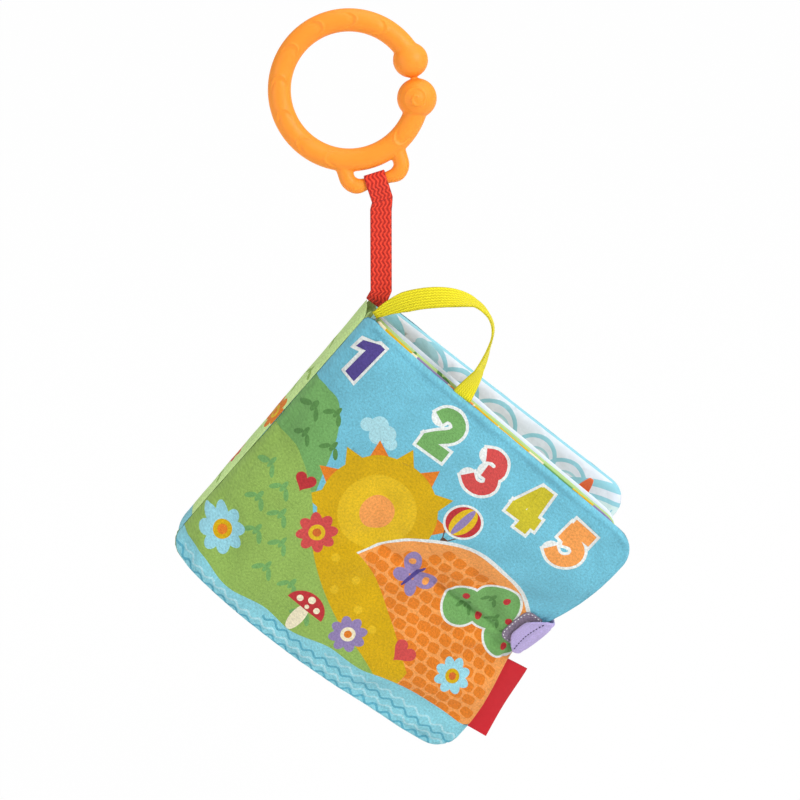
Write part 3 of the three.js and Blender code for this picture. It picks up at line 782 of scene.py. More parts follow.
def simulated(points, faces, sewn, pressure):
    """Where the cloth goes when its wadding presses on it from inside and its sewn edge stays."""
    mesh = mesh_of("swelling", points, faces)
    cloth = bpy.data.objects.new("swelling", mesh)
    bpy.context.scene.collection.objects.link(cloth)
    cloth.vertex_groups.new(name="sewn").add(sewn, 1.0, "REPLACE")
    modifier = cloth.modifiers.new("Cloth", "CLOTH")
    settings = modifier.settings
    settings.quality = 6
    settings.mass = 0.3
    settings.tension_stiffness = 15
    settings.compression_stiffness = 15
    settings.bending_stiffness = 0.5
    settings.use_pressure = True
    settings.uniform_pressure_force = pressure
    settings.shrink_min = -SWELL_GROWTH
    settings.vertex_group_mass = "sewn"
    settings.effector_weights.gravity = 0
    modifier.point_cache.frame_start = 1
    modifier.point_cache.frame_end = SWELL_FRAMES
    for number in range(1, SWELL_FRAMES + 1):
        bpy.context.scene.frame_set(number)
    swelled = cloth.evaluated_get(bpy.context.evaluated_depsgraph_get()).data
    after = np.array([v.co for v in swelled.vertices])
    bpy.data.objects.remove(cloth)
    bpy.context.scene.frame_set(1)
    return after


def swelling(fan, cut, face, pressure=2.0):
    """A function that gives how the padded cloth moves at places of its flat cut, in millimetres."""
    columns = int(cut.length / SWELL_STEP) + 1
    rows = int(cut.height / SWELL_STEP) + 1
    xs = np.linspace(cut.x, cut.x + cut.length, columns)
    drops = np.linspace(cut.drop, cut.drop + cut.height, rows)
    grid_x, grid_drop = np.meshgrid(xs, drops, indexing="ij")
    inside = cut.inset(grid_x, grid_drop) > -0.01
    movement = np.zeros((columns, rows, 3))
    turned = -1 if face(np.array(20.0)) > 0 else 1
    number = np.full((columns, rows), -1)
    number[inside] = np.arange(inside.sum())
    x, drop = grid_x[inside], grid_drop[inside]
    before = to_scene(leaf(fan, x, drop, face(cut.inset(x, drop))))
    quads = np.stack([number[:-1, :-1], number[:-1, 1:], number[1:, 1:], number[1:, :-1]], -1)
    faces = [[int(k) for k in quad[::turned]] for quad in quads.reshape(-1, 4) if quad.min() >= 0]
    sewn = [int(k) for k in np.nonzero(cut.inset(x, drop) < SEWN_WIDTH)[0]]
    after = simulated(before, faces, sewn, pressure)
    change = (after - before) / MM @ np.array([foreward, backward, spine_up]).T
    length = np.linalg.norm(change, axis=1, keepdims=True)
    movement[inside] = change / np.maximum(length, 1e-9) * SWELL_CAP * np.tanh(length / SWELL_CAP)

    def at(x, drop):
        i = (np.clip(x, xs[0], xs[-1]) - xs[0]) / (xs[1] - xs[0])
        j = (np.clip(drop, drops[0], drops[-1]) - drops[0]) / (drops[1] - drops[0])
        total = np.zeros((len(x), 3))
        base_i, base_j = np.floor(i).astype(int), np.floor(j).astype(int)
        for a in range(-1, 3):
            for b in range(-1, 3):
                weight = spline_weight(i - base_i, a) * spline_weight(j - base_j, b)
                column = np.clip(base_i + a, 0, columns - 1)
                row = np.clip(base_j + b, 0, rows - 1)
                total += weight[:, None] * movement[column, row]
        return total

    return at


def spline_weight(t, k):
    """The share of the k-th grid line in a smooth blend at t past line 0."""
    if k == -1:
        return (1 - t) ** 3 / 6
    if k == 0:
        return (3 * t**3 - 6 * t**2 + 4) / 6
    if k == 1:
        return (-3 * t**3 + 3 * t**2 + 3 * t + 1) / 6
    return t**3 / 6


PUCKER_DEPTH = 0.13


def puckers(x, drop, inset):
    """Small gathers that the sewing draws along a cover's edge."""
    middle_x, middle_drop = COVER_CUT.x + COVER_CUT.length / 2, COVER_CUT.drop + COVER_CUT.height / 2
    round_it = np.arctan2(drop - middle_drop, x - middle_x)
    wave = np.sin(round_it * 61) + 0.7 * np.sin(round_it * 97 + 1.3) + 0.5 * np.sin(round_it * 143 + 0.4)
    return PUCKER_DEPTH * wave * np.exp(-(((inset - 3.2) / 2.6) ** 2))


def seam_ridge(inset):
    """The rim that stands along the seam, and the valley beside it."""
    return 0.75 * np.exp(-(((inset - 1.4) / 0.8) ** 2)) - 0.9 * np.exp(-(((inset - 3.9) / 1.3) ** 2))


# Folds that run from the closure tab across the front cover: direction, length, depth and half width
TAB_FOLDS = [
    (180, 72, 2.4, 5.5),
    (180, 76, 1.7, 1.5),
    (154, 42, 1.6, 3.2),
    (204, 46, 2.0, 3.6),
    (128, 28, 1.5, 3.0),
    (236, 32, 1.7, 3.2),
]
TAB_FOLD_X = 168
TAB_FOLD_DROP = 85.5

PATCH_MIDDLE_X = 168
PATCH_MIDDLE_DROP = 76


def by_the_patch(x, drop):
    """Near nothing under the sewn fastener patch, where the cover stays flat, and one away from it."""
    return 1 - np.exp(-(((x - PATCH_MIDDLE_X) / 10) ** 4) - ((drop - PATCH_MIDDLE_DROP) / 14) ** 4)


def tab_folds(x, drop):
    """How deep the folds lie under the cloth round them."""
    away = np.hypot(x - TAB_FOLD_X, drop - TAB_FOLD_DROP)
    bearing = np.degrees(np.arctan2(drop - TAB_FOLD_DROP, x - TAB_FOLD_X)) % 360
    depth = np.zeros(len(x))
    for direction, length, deep, half in TAB_FOLDS:
        aside = np.radians((bearing - direction + 180) % 360 - 180) * np.maximum(away, 3)
        fade = np.clip(away / 7, 0, 1) * np.exp(-((away / length) ** 2))
        near = np.exp(-((aside / half) ** 2))
        beside = np.exp(-(((np.abs(aside) - 2.1 * half) / half) ** 2))
        depth += deep * fade * (near - 0.45 * beside)
    return depth


# Materials


class Finish:
    """A material and its nodes."""

    def __init__(self, name, **settings):
        self.material = bpy.data.materials.new(name)
        self.material.use_nodes = True
        self.tree = self.material.node_tree
        self.shader = self.tree.nodes["Principled BSDF"]
        for socket, value in settings.items():
            self.shader.inputs[socket.replace("_", " ")].default_value = value

    def add(self, kind, settings=None, **inputs):
        """A node, its settings, and its inputs by name or by number as n0, n1."""
        node = self.tree.nodes.new(kind)
        for key, value in (settings or {}).items():
            setattr(node, key, value)
        for key, value in inputs.items():
            socket = node.inputs[int(key[1:])] if key[1:].isdigit() else node.inputs[key.replace("_", " ")]
            self.feed(socket, value)
        return node

    def feed(self, socket, value):
        if isinstance(value, bpy.types.NodeSocket):
            self.tree.links.new(value, socket)
        else:
            socket.default_value = value

    def math(self, operation, a, b=0.0):
        return self.add("ShaderNodeMath", {"operation": operation}, n0=a, n1=b).outputs[0]

    def noise(self, place, scale, detail):
        return self.add("ShaderNodeTexNoise", None, Vector=place, Scale=scale, Detail=detail).outputs["Fac"]

    def span(self, value, low, high):
        """A value between 0 and 1 spread from low to high."""
        return self.add("ShaderNodeMapRange", None, Value=value, To_Min=low, To_Max=high).outputs[0]

    def flat(self):
        return self.add("ShaderNodeUVMap", {"uv_map": "Flat"}).outputs[0]

    def along(self, axis):
        """A place's coordinate on the flat cloth, X across or Y down."""
        return self.add("ShaderNodeSeparateXYZ", None, Vector=self.flat()).outputs[axis]

    def rows(self, axis, rate):
        """Even rows of thread, as a wave along one axis."""
        return self.math("SINE", self.math("MULTIPLY", self.along(axis), rate))

    def printed(self):
        return self.add("ShaderNodeVertexColor", {"layer_name": "Print"}).outputs["Color"]

    def plain(self, name):
        node = self.add("ShaderNodeRGB")
        node.outputs[0].default_value = (*linear(COLOURS[name]), 1)
        return node.outputs[0]

    def shaded(self, colour, factor):
        """A colour made lighter or darker by a factor."""
        node = self.add("ShaderNodeVectorMath", {"operation": "SCALE"}, n0=colour)
        self.feed(node.inputs["Scale"], factor)
        return node.outputs[0]

    def bump(self, height, strength, distance, under=None):
        node = self.add("ShaderNodeBump", None, Height=height, Strength=strength, Distance=distance)
        if under is not None:
            self.tree.links.new(under, node.inputs["Normal"])
        return node.outputs[0]

    def finish(self, base, normal=None):
        self.feed(self.shader.inputs["Base Color"], base)
        if normal is not None:
            self.tree.links.new(normal, self.shader.inputs["Normal"])
        return self.material


def velour(name, colour=None):
    """Short plush: a speckle of fibre ends, soft marks where the pile leans, and a fuzzy sheen."""
    f = Finish(name, Roughness=0.95, Sheen_Weight=0.12, Sheen_Roughness=0.6, Specular_IOR_Level=0.08)
    place = f.flat()
    speckle = f.span(f.noise(place, 0.9, 3), 0.6, 1.4)
    leaning = f.span(f.noise(place, 0.06, 3), 0.84, 1.16)
    base = f.shaded(f.plain(colour) if colour else f.printed(), f.math("MULTIPLY", speckle, leaning))
    return f.finish(base, f.bump(f.noise(place, 1.6, 4), 0.7, 0.0008))


def thin_cloth(name):
    """Smooth printed polyester: a fine plain weave and small soft wrinkles."""
    f = Finish(name, Roughness=0.75, Sheen_Weight=0.05, Specular_IOR_Level=0.2)
    place = f.flat()
    soft = f.bump(f.noise(place, 0.12, 3), 0.5, 0.0015)
    weave = f.math("MULTIPLY", f.rows("X", 14), f.rows("Y", 14))
    base = f.shaded(f.printed(), f.span(f.noise(place, 0.2, 3), 0.95, 1.04))
    return f.finish(base, f.bump(weave, 0.12, 0.0002, soft))


def webbing(name, ridge, groove_shade, pitch, sway, rate):
    """Woven tape: lengthwise ribs, a pitch apart, that sway from side to side, with painted shade in the
    grooves and painted light on the ridges.
    """
    f = Finish(name, Roughness=0.78, Sheen_Weight=0.1, Specular_IOR_Level=0.3)
    swaying = f.math("MULTIPLY", f.rows("Y", rate), sway)
    across = f.math("MULTIPLY", f.math("ADD", f.along("X"), swaying), math.tau / pitch)
    height = f.math("ADD", f.math("SINE", across), f.math("MULTIPLY", f.rows("Y", rate * 2), 0.2))
    share = f.add("ShaderNodeMapRange", None, Value=height, From_Min=-1, From_Max=1).outputs[0]
    # Painted shade and light: the colour runs from the darker groove shade at the foot of each rib to the
    # lighter ridge colour at its top
    mix = f.add("ShaderNodeMix", {"data_type": "RGBA"}, n0=share, n6=f.plain(groove_shade), n7=f.plain(ridge))
    base = f.shaded(mix.outputs[2], f.span(f.noise(f.flat(), 1.6, 2), 0.92, 1.08))
    return f.finish(base, f.bump(height, 0.7, 0.00025))


def satin(name, colour):
    """Satin ribbon: fine threads along the label."""
    f = Finish(name, Roughness=0.5, Specular_IOR_Level=0.25)
    base = f.shaded(f.plain(colour), f.span(f.noise(f.flat(), 0.5, 2), 0.94, 1.05))
    return f.finish(base, f.bump(f.rows("X", 22), 0.12, 0.0001))


def felt(name, colour):
    f = Finish(name, Roughness=0.95, Sheen_Weight=0.4, Specular_IOR_Level=0.15)
    fibres = f.noise(f.flat(), 1.8, 5)
    return f.finish(f.shaded(f.plain(colour), f.span(fibres, 0.8, 1.2)), f.bump(fibres, 0.6, 0.0008))


def fastener(name, colour):
    """Hook and loop tape: rows of small raised loops, with painted light on their tops and painted shade
    between them.
    """
    f = Finish(name, Roughness=0.6, Specular_IOR_Level=0.4)
    dots = f.add("ShaderNodeTexVoronoi", None, Vector=f.flat(), Scale=1.1).outputs["Distance"]
    # Painted light and shade: the colour follows the loops' height, lighter on their tops and darker in the
    # gaps between them
    base = f.shaded(f.plain(colour), f.span(dots, 1.1, 0.6))
    return f.finish(base, f.bump(dots, 0.8, -0.0004))


def plastic(name, colour):
    """Moulded plastic: satin, faintly uneven, a little light passes into it."""
    f = Finish(name, Roughness=0.5, Subsurface_Weight=0.15, Subsurface_Scale=0.004, Specular_IOR_Level=0.3)
    place = f.add("ShaderNodeTexCoord").outputs["Object"]
    base = f.shaded(f.plain(colour), f.span(f.noise(place, 90, 2), 0.97, 1.03))
    return f.finish(base, f.bump(f.noise(place, 900, 2), 0.06, 0.0002))


def thread(name, colour):
    f = Finish(name, Roughness=0.7, Sheen_Weight=0.2)
    place = f.add("ShaderNodeTexCoord").outputs["Object"]
    return f.finish(f.shaded(f.plain(colour), f.span(f.noise(place, 3000, 2), 0.8, 1.2)))


# Covers


COVER_RIMS = (0.35, 0.9, 1.7, 2.8, 4.2, 5.8)
LINING_FACE_SHARE = 0.97
LINING_SWELL_SHARE = 0.35


def cover(name, shapes, lining_shapes, lining_ground):
    """A padded cover and its lining. The tab pulls folds into the front one."""
    front = name == "front_cover"
    fan = FANS[name]
    outward = math.copysign(1, fan.root)
    swell = swelling(fan, COVER_CUT, lambda inset: outward * cover_face(inset))
    lining_swell = swelling(fan, COVER_CUT, lambda inset: -outward * cover_face(inset), pressure=0.3)

    def outer(x, drop):
        inset = COVER_CUT.inset(x, drop)
        lift = cover_face(inset) + puckers(x, drop, inset) + seam_ridge(inset)
        moving = swell(x, drop)
        if front:
            calm = by_the_patch(x, drop)
            lift = lift - tab_folds(x, drop) * np.clip(inset / 4, 0, 1) * calm
            moving = moving * calm[:, None]
        return to_scene(leaf(fan, x, drop, outward * lift) + moving)

    def inner(x, drop):
        inset = COVER_CUT.inset(x, drop)
        lift = cover_face(inset) * LINING_FACE_SHARE + puckers(x, drop, inset)
        return to_scene(leaf(fan, x, drop, -outward * lift) + LINING_SWELL_SHARE * lining_swell(x, drop))

    velour_name, lining_name = f"{name}_velour", f"{name}_lining_cloth"
    mesh = printed_mesh(velour_name, COVER_CUT, outer, shapes, "sky", 1.9, COVER_RIMS, flip=front)
    outside = add_piece(velour_name, mesh, VELOUR, None, "blue_velour", f"{name}_outer", f"{name}_pad")
    shapes = [(COVER_CUT.outline(0.8, 3), lining_ground)] + lining_shapes
    mesh = printed_mesh(lining_name, COVER_CUT, inner, shapes, "ice", 2.4, COVER_RIMS, flip=not front)
    slot = "cream_cloth" if front else "white_cloth"
    lining = add_piece(lining_name, mesh, THIN_CLOTH, None, slot, f"{name}_lining")
    for piece in (outside, lining):
        crease(piece)


def crease(piece):
    """The piece's placement, baked into its points."""
    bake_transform(piece)


# Pages


def page(name, slot, front, back):
    """A page's two faces. front and back are each a list of shapes and the colour of the ground."""
    fan = FANS[name]
    for label, side, shapes, ground in (("front", -1, *front), ("back", 1, *back)):

        def place(x, drop, side=side):
            inset = PAGE_CUT.inset(x, drop)
            thick = PAGE_SIDE * np.sqrt(np.clip(inset / 3, 0, 1))
            ripple = 0.45 * np.sin(x * 0.16 + fan.root) * np.exp(-((drop - PAGE_CUT.drop) / 26))
            ripple = ripple + 0.25 * np.sin(x * 0.07 + drop * 0.05 + fan.root)
            return to_scene(leaf(fan, x, drop, side * thick + ripple * np.clip((x - 12) / 20, 0, 1)))

        cloth_name = f"{name}_{label}_cloth"
        mesh = printed_mesh(cloth_name, PAGE_CUT, place, shapes, ground, 2.6, (0.3, 1, 2), flip=side < 0)
        nodes = [f"{name}_front", f"{name}_film"] if side < 0 else [f"{name}_back"]
        piece = add_piece(cloth_name, mesh, THIN_CLOTH, None, slot if side < 0 else "white_cloth", *nodes)
        crease(piece)


def joined(meshes):
    """One mesh from several, with the points that they share merged."""
    whole = bmesh.new()
    for mesh in meshes:
        whole.from_mesh(mesh)
    bmesh.ops.remove_doubles(whole, verts=whole.verts, dist=0.01 * MM)
    whole.to_mesh(meshes[0])
    whole.free()
    return meshes[0]


def felt_point():
    """A felt shape with rounded edges, narrower at the top, that lies on the last page."""
    cut = Cut(FELT_PLACE - FELT_WIDTH / 2, PAGE_CUT.drop - FELT_STAND, FELT_WIDTH, FELT_HEIGHT, 3, 3)
    half = FELT_THICKNESS / 2
    middle = PAGE_SIDE + PAGE_FILM_GAP + half
    meshes = []
    for side in (-1, 1):

        def place(x, drop, side=side):
            thick = half * np.sqrt(np.clip(cut.inset(x, drop) / half, 0, 1))
            narrow = 1 - FELT_TAPER * (1 - (drop - cut.drop) / cut.height)
            level = FELT_PLACE + (x - FELT_PLACE) * narrow
            return to_scene(leaf(FANS["page_3"], level, drop, middle + side * thick))

        meshes.append(printed_mesh("felt_shape", cut, place, [], "white", 1.2, (0.2, half), flip=side < 0))
    piece = add_piece("felt_shape", joined(meshes), FELT, "page_3", "orange_felt", "page_3_felt")


# Spine


def spine():
    """The velour strip that the covers hang from, and the cloth on its inner side."""
    half = SPINE_WIDTH / 2 + SPINE_SEAM
    height = COVER_HEIGHT - SPINE_SHORTER
    cut = Cut(-half, COVER_TOP, 2 * half, height, 6, 6)

    def outer(y, drop):
        bulge = (SPINE_BULGE + SPINE_SETBACK + 0.4) * (1 - np.abs(y / half) ** 3)
        wave = 0.25 * np.sin(drop * 0.21) * np.sin(drop * 0.083 + 1)
        tuck = 3 * np.clip(1 - (COVER_TOP + height - drop) / 8, 0, 1) ** 2
        level = COVER_ROOT - 0.1 - bulge - wave * (1 - np.abs(y / half)) + tuck + skew(y, drop)
        return to_scene(np.stack([level, y, -drop], -1))

    rims = (0.5, 1.2)
    mesh = printed_mesh("spine_velour", cut, outer, spine_print(), "spine green", 1.6, rims, flip=True)
    piece = add_piece("spine_velour", mesh, VELOUR, "spine", "green_velour", "spine_outer", "spine_pad")
    inner_half = SPINE_PAD_WIDTH / 2
    inner_cut = Cut(-inner_half - 2.4, COVER_TOP, 2 * inner_half + 4.8, COVER_HEIGHT - 3, 1, 1)

    def inner(y, drop):
        face = SPINE_PAD_FACE + SEAM_GAP + LINING_THICKNESS
        level = face * (1 - np.abs(y / (inner_half + 2.6)) ** 4) + skew(y, drop)
        return to_scene(np.stack([level, y, -drop], -1))

    top = [(-9, -2), (9, -2), (9, 8), (-9, 8)]
    mesh = printed_mesh("spine_lining_cloth", inner_cut, inner, [(top, "pale green")], "paper white", 1.8)
    piece = add_piece("spine_lining_cloth", mesh, THIN_CLOTH, "spine", "white_cloth", "spine_lining")


# Closure tab and label


def tab_line(drop):
    """The tab's middle line at one level, from the back seam round the fore edges to its end."""
    front, back = FANS["front_cover"], FANS["back_cover"]
    front_edge = leaf(front, COVER_LENGTH, drop, 0)
    back_edge = leaf(back, COVER_LENGTH, drop, 0)
    lift = 3 * PATCH_GAP + 2 * PATCH_THICKNESS + TAB_THICKNESS / 2
    stand = TAB_STAND + TAB_BULGE * max(1 - ((drop - TAB_DROP) / (TAB_WIDTH / 2)) ** 2, 0)

    def over(inset):
        return leaf(front, COVER_LENGTH - inset, drop, -cover_face(inset) - lift)

    def beside(edge, forward, out):
        return edge + np.array([out, forward, 0])

    return [
        beside(back_edge, 0, TAB_THICKNESS / 2 + SEAM_GAP),
        beside(back_edge, -TAB_TURN / 3, TAB_STAND),
        beside(back_edge, -TAB_TURN, TAB_STAND),
        beside(back_edge, (front_edge[1] - back_edge[1]) / 2, (TAB_STAND + stand) / 2),
        beside(front_edge, TAB_TURN, stand),
        beside(front_edge, 0, stand),
        beside(front_edge, -TAB_TURN / 2, stand * 0.9),
        over(PATCH_MARGIN / 2),
        over(PATCH_MARGIN),
        over((PATCH_MARGIN + TAB_OVERLAP) / 2),
        over(TAB_OVERLAP),
    ]


TAB_STEPS = 6
TAB_TAPER_START = 0.65


def tab_place(along, share):
    """A point of the tab's middle: along from 0 at its root to 1, share from -1 to 1 across it."""
    end = max(along - TAB_TAPER_START, 0) / (1 - TAB_TAPER_START)
    half = TAB_WIDTH / 2 * (1 - (1 - TAB_END_SHARE) * end**2.4)
    line = smooth([tuple(p) for p in tab_line(TAB_DROP + half * share)], TAB_STEPS)
    place = along * (len(line) - 1)
    low = min(int(place), len(line) - 2)
    return Vector(line[low]).lerp(Vector(line[low + 1]), place - low)


def tab_normal(along, share):
    """The direction out of the tab, away from the book."""
    near, far = max(along - 0.01, 0), min(along + 0.01, 1)
    run = tab_place(far, share) - tab_place(near, share)
    across = tab_place(along, min(share + 0.05, 1)) - tab_place(along, max(share - 0.05, -1))
    return run.cross(across).normalized()


TAB_FLAT_LENGTH = 70
TAB_QUILT = 0.3
TAB_STITCHES = 12
TAB_STITCH_REACH = 0.84


def closure_tab():
    """The tab's padded shell, quilted along its edge, and its top stitches."""
    rows, columns = 46, 22
    sides = []
    flat = []
    for side in (1, -1):
        for i in range(rows + 1):
            for j in range(columns + 1):
                along, share = i / rows, math.sin(math.pi / 2 * (2 * j / columns - 1))
                edge = max(abs(share) - 0.86, 0) / 0.14
                tip = max(along - 0.95, 0) / 0.05
                thick = TAB_THICKNESS / 2 * math.sqrt(max(1 - edge**2, 0)) * math.sqrt(max(1 - tip**2, 0))
                if thick > TAB_QUILT:
                    thick -= TAB_QUILT * math.exp(-(((abs(share) - 0.78) / 0.08) ** 2))
                sides.append(tuple(tab_place(along, share) + tab_normal(along, share) * side * thick))
                flat.append((along * TAB_FLAT_LENGTH, share * TAB_WIDTH / 2))
    faces = strip_faces(rows, columns + 1)
    faces += [[corner + len(sides) // 2 for corner in face[::-1]] for face in faces]
    mesh = joined([mesh_of("closure_tab_velour", to_scene(sides), faces, flat)])
    piece = add_piece("closure_tab_velour", mesh, TAB_VELOUR, None, "lilac_velour", "closure_tab")
    root, past = to_scene([tab_place(0, 0), tab_place(0.2, 0)])
    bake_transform(piece)
    lines = []
    for k in range(TAB_STITCHES):
        share = TAB_STITCH_REACH * (2 * k / (TAB_STITCHES - 1) - 1)
        along = 0.775 + 0.035 * (1 - share * share)
        lift = tab_normal(along, share) * (TAB_THICKNESS / 2 - 0.05)
        lines.append([tab_place(along, share + end) + lift for end in (-0.055, 0.055)])
    stitch_piece("closure_tab_stitches", lines, PURPLE_THREAD, "tab", "lilac_velour", 0.36)


def stitch_piece(name, lines, material, body, slot, radius):
    """Short stitches of thread between pairs of points of the book's frame."""
    whole = bmesh.new()
    for line in lines:
        here, after = (Vector(p) for p in to_scene(line))
        run = after - here
        made = bmesh.ops.create_uvsphere(whole, u_segments=8, v_segments=6, radius=1)
        turn = run.to_track_quat("Z", "Y").to_matrix()
        size = Vector((radius * MM, radius * MM, run.length / 2))
        for vertex in made["verts"]:
            vertex.co = turn @ (vertex.co * size) + (here + after) / 2
    mesh = bpy.data.meshes.new(name)
    whole.to_mesh(mesh)
    whole.free()
    add_piece(name, mesh, material, body, slot)


def label():
    """A folded satin loop, flat between the two ends that the seam holds."""
    fan = FANS["front_cover"]
    top = Vector(leaf(fan, COVER_LENGTH - 1.5, LABEL_DROP, 0))
    foot = Vector(leaf(fan, COVER_LENGTH - 1.5, LABEL_DROP + LABEL_LENGTH, 0))
    down = foot - top
    out = Vector((1, -0.05, 0))
    out = (out - down.normalized() * out.dot(down.normalized())).normalized()
    normal = out.cross(down).normalized()
    rows, columns = 24, 10
    width = LABEL_WIDTH + 1.5
    half = LABEL_HALF_THICKNESS
    path = [(width * k / columns, half) for k in range(columns)]
    turns = [math.pi * k / 6 for k in range(7)]
    path += [(width + half * math.sin(t), half * math.cos(t)) for t in turns]
    path += [(width * k / columns, -half) for k in range(columns - 1, -1, -1)]
    points, flat = [], []
    for i in range(rows + 1):
        share = i / rows
        wave = 2.2 * math.sin(share * 4.4 - 0.6) * share**0.5
        for across, off in path:
            lift = off + wave * (across / width) ** 1.5
            points.append(tuple(top + down * share + out * across + normal * lift))
            flat.append((across + (off < 0) * 30, share * LABEL_LENGTH))
    faces = strip_faces(rows, len(path))
    mesh = mesh_of("side_label_satin", to_scene(points), faces, flat)
    piece = add_piece("side_label_satin", mesh, SATIN, "front_cover", "red_satin", "side_label")
    flat = (2 * width * MM, LABEL_LENGTH * MM)


def strip_faces(rows, count):
    """The faces between rows of count points each."""
    starts = [i * count + j for i in range(rows) for j in range(count - 1)]
    return [[a, a + 1, a + count + 1, a + count] for a in starts]


def on_patch(x, drop, lift):
    """A place above the front cover's face by the fore edge."""
    return leaf(FANS["front_cover"], x, drop, -cover_face(COVER_LENGTH - x) - lift)


def fastener_patches():
    """The loop patch sewn to the cover, and the hook patch under the tab."""
    hook_start = COVER_LENGTH - PATCH_MARGIN - PATCH_LENGTH
    for name, cut, body, level in (
        ("loop_patch", Cut(162.2, 65.5, 10.5, 21, 1.2, 4), "front_cover", 0),
        ("hook_patch", Cut(hook_start, 70, PATCH_LENGTH, 14, 1.2, 1.2), "tab", 1),
    ):
        lift = PATCH_GAP + PATCH_THICKNESS + level * (PATCH_THICKNESS + PATCH_GAP)

        def place(x, drop, lift=lift):
            return to_scene(on_patch(x, drop, lift))

        mesh = printed_mesh(f"{name}_tape", cut, place, [], "grey lilac", 1, (0.3,), flip=True)
        piece = add_piece(f"{name}_tape", mesh, FASTENER, body, "fastener_tape", name)
        thick = piece.modifiers.new("Thickness", "SOLIDIFY")
        thick.thickness = PATCH_THICKNESS * MM
        thick.offset = -1
        if name == "loop_patch":
            rim = cut.outline(0.8, 1.0)
            lines = [[on_patch(*end, lift) for end in ends] for ends in zip(rim[::2], rim[1::2])]
            stitch_piece(f"{name}_stitches", lines, PALE_THREAD, body, "fastener_tape", 0.26)


# Webbing


TAPE_COLUMNS = 12
TAPE_EDGE = 0.2
UNDERSIDE_SHIFT = 40


def tape(name, stations, material, slot, node):
    """A woven tape with rounded edges. Each station is a centre in the scene, the directions across the
    tape and out of it, and its width in millimetres."""
    shares = [2 * j / TAPE_COLUMNS - 1 for j in range(TAPE_COLUMNS + 1)]
    points, flat = [], []
    length = 0.0
    last_centre = stations[0][0]
    for centre, across, out, width in stations:
        length += (centre - last_centre).length / MM
        last_centre = centre
        half = width / 2
        section = [(share * (half - TAPE_EDGE), WEBBING_THICKNESS / 2) for share in shares] + [(half, 0)]
        for a, b in section + [(-a, -b) for a, b in section]:
            points.append(centre + (across * a + out * b) * MM)
            flat.append((a + (0 if b > 0 else UNDERSIDE_SHIFT), length))
    count = 2 * len(section)
    last = len(points) - count
    faces = []
    for start in range(0, last, count):
        for j in range(count):
            after = (j + 1) % count
            faces.append([start + j, start + after, start + count + after, start + count + j])
    faces += [list(range(count))[::-1], [last + j for j in range(count)]]
    return add_piece(name, mesh_of(name, points, faces, flat), material, None, slot, node)


STRAP_OFFSET_ON_BAR = -0.5
STRAP_LEAN = -0.7
STRAP_STITCH_DROP = 10
STRAP_FOOT_RUN = 7
STRAP_FOOT_PLACE = 2
STRAP_GATHER_SHARE = 0.8
LUG_SECTION = 5.8
WEBBING_CLEARANCE = 0.3


def strap():
    """One webbing, folded over the bar: its first half runs up and goes round the bar, its second comes
    down behind."""
    bar = Vector(joints["strap_swing"]["pos_m"])
    bar_along = -Vector(joints["strap_swing"]["axis"]).normalized()
    down = Vector((0, 0, -1))
    loop_down = (down - bar_along * down.dot(bar_along)).normalized()
    loop_back = loop_down.cross(bar_along)
    loop_back = -loop_back if loop_back.y < 0 else loop_back
    top = bar + bar_along * STRAP_OFFSET_ON_BAR * MM
    radius = LUG_SECTION / 2 + WEBBING_CLEARANCE + WEBBING_THICKNESS / 2
    lean = math.asin((radius - WEBBING_THICKNESS / 2) / STRAP_STITCH_DROP)
    layer = WEBBING_THICKNESS / 2 + 0.03
    foot = scene_point(STRAP_FOOT_PLACE, 0, COVER_TOP - SEAM_GAP - 1.2)
    stitch = top + loop_down * STRAP_STITCH_DROP * MM
    level = Vector((bar_along.x, 0, bar_along.z)).normalized()
    straight = stitch + down * WEBBING_WIDTH / 2 * MM
    straight.x += STRAP_LEAN * MM
    above = Vector((straight.x, foot.y, foot.z + STRAP_FOOT_RUN * MM))
    facing = Vector((0, 1, 0))
    right = Vector((1, 0, 0))
    gathered = WEBBING_WIDTH * STRAP_GATHER_SHARE / foreward.x
    run = [(foot, foreward, gathered), (above, right, WEBBING_WIDTH)]
    run += [(above.lerp(straight, k / 8), right, WEBBING_WIDTH) for k in range(1, 9)]
    for k in range(1, 4):
        run.append((straight.lerp(stitch, k / 3), right.lerp(level, k / 3).normalized(), WEBBING_WIDTH))
    offset = facing * layer * MM
    stations = [(place + offset, across, facing, width) for place, across, width in run]
    for k in range(21):
        turn = -lean + (math.pi + 2 * lean) * k / 20
        out = loop_back * math.cos(turn) - loop_down * math.sin(turn)
        stations.append((top + out * radius * MM, bar_along, out, WEBBING_WIDTH))
    stations += [(place - offset, across, -facing, width) for place, across, width in run[::-1]]
    piece = tape("hang_strap_webbing", stations, RED_WEBBING, "red_webbing", "hang_strap")
    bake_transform(piece)
    lines = []
    for k in range(7):
        side = (k - 3) * WEBBING_WIDTH / 7.4
        for out in (-1, 1):
            place = stitch + (level * side + facing * out * (2 * layer)) * MM
            lines.append((place - level * 0.5 * MM, place + level * 0.5 * MM))
    to_book = np.array([foreward, backward, spine_up]).T
    lines = [[np.array(p - book_corner) @ to_book / MM for p in line] for line in lines]
    stitch_piece("hang_strap_stitches", lines, RED_THREAD, "strap", "red_webbing", 0.3)


HANDLE_LINE = [
    (4, -8.2, -0.8),
    (6.5, -9, 6),
    (10.5, -10.5, 14),
    (17, -12, 22.5),
    (25.5, -13.5, 30.2),
    (35.2, -15, 35.3),
    (44, -16.5, 34.7),
    (50.3, -18, 30.2),
    (54.2, -19.5, 21.5),
    (57.3, -21, 11),
    (59, -21.9, -3.2),
]
HANDLE_TWIST = [0, 5, 12, 22, 50, 90, 94, 84, 76, 58, 0]
HANDLE_GATHER_SHARE = 0.42
GATHER_REACH_SHARE = 0.19


def scene_direction(v):
    """A direction of the book's frame, in the scene."""
    return foreward * v.x + backward * v.y + spine_up * v.z


HANDLE_STEPS = 8
HANDLE_SEWN = 1.6


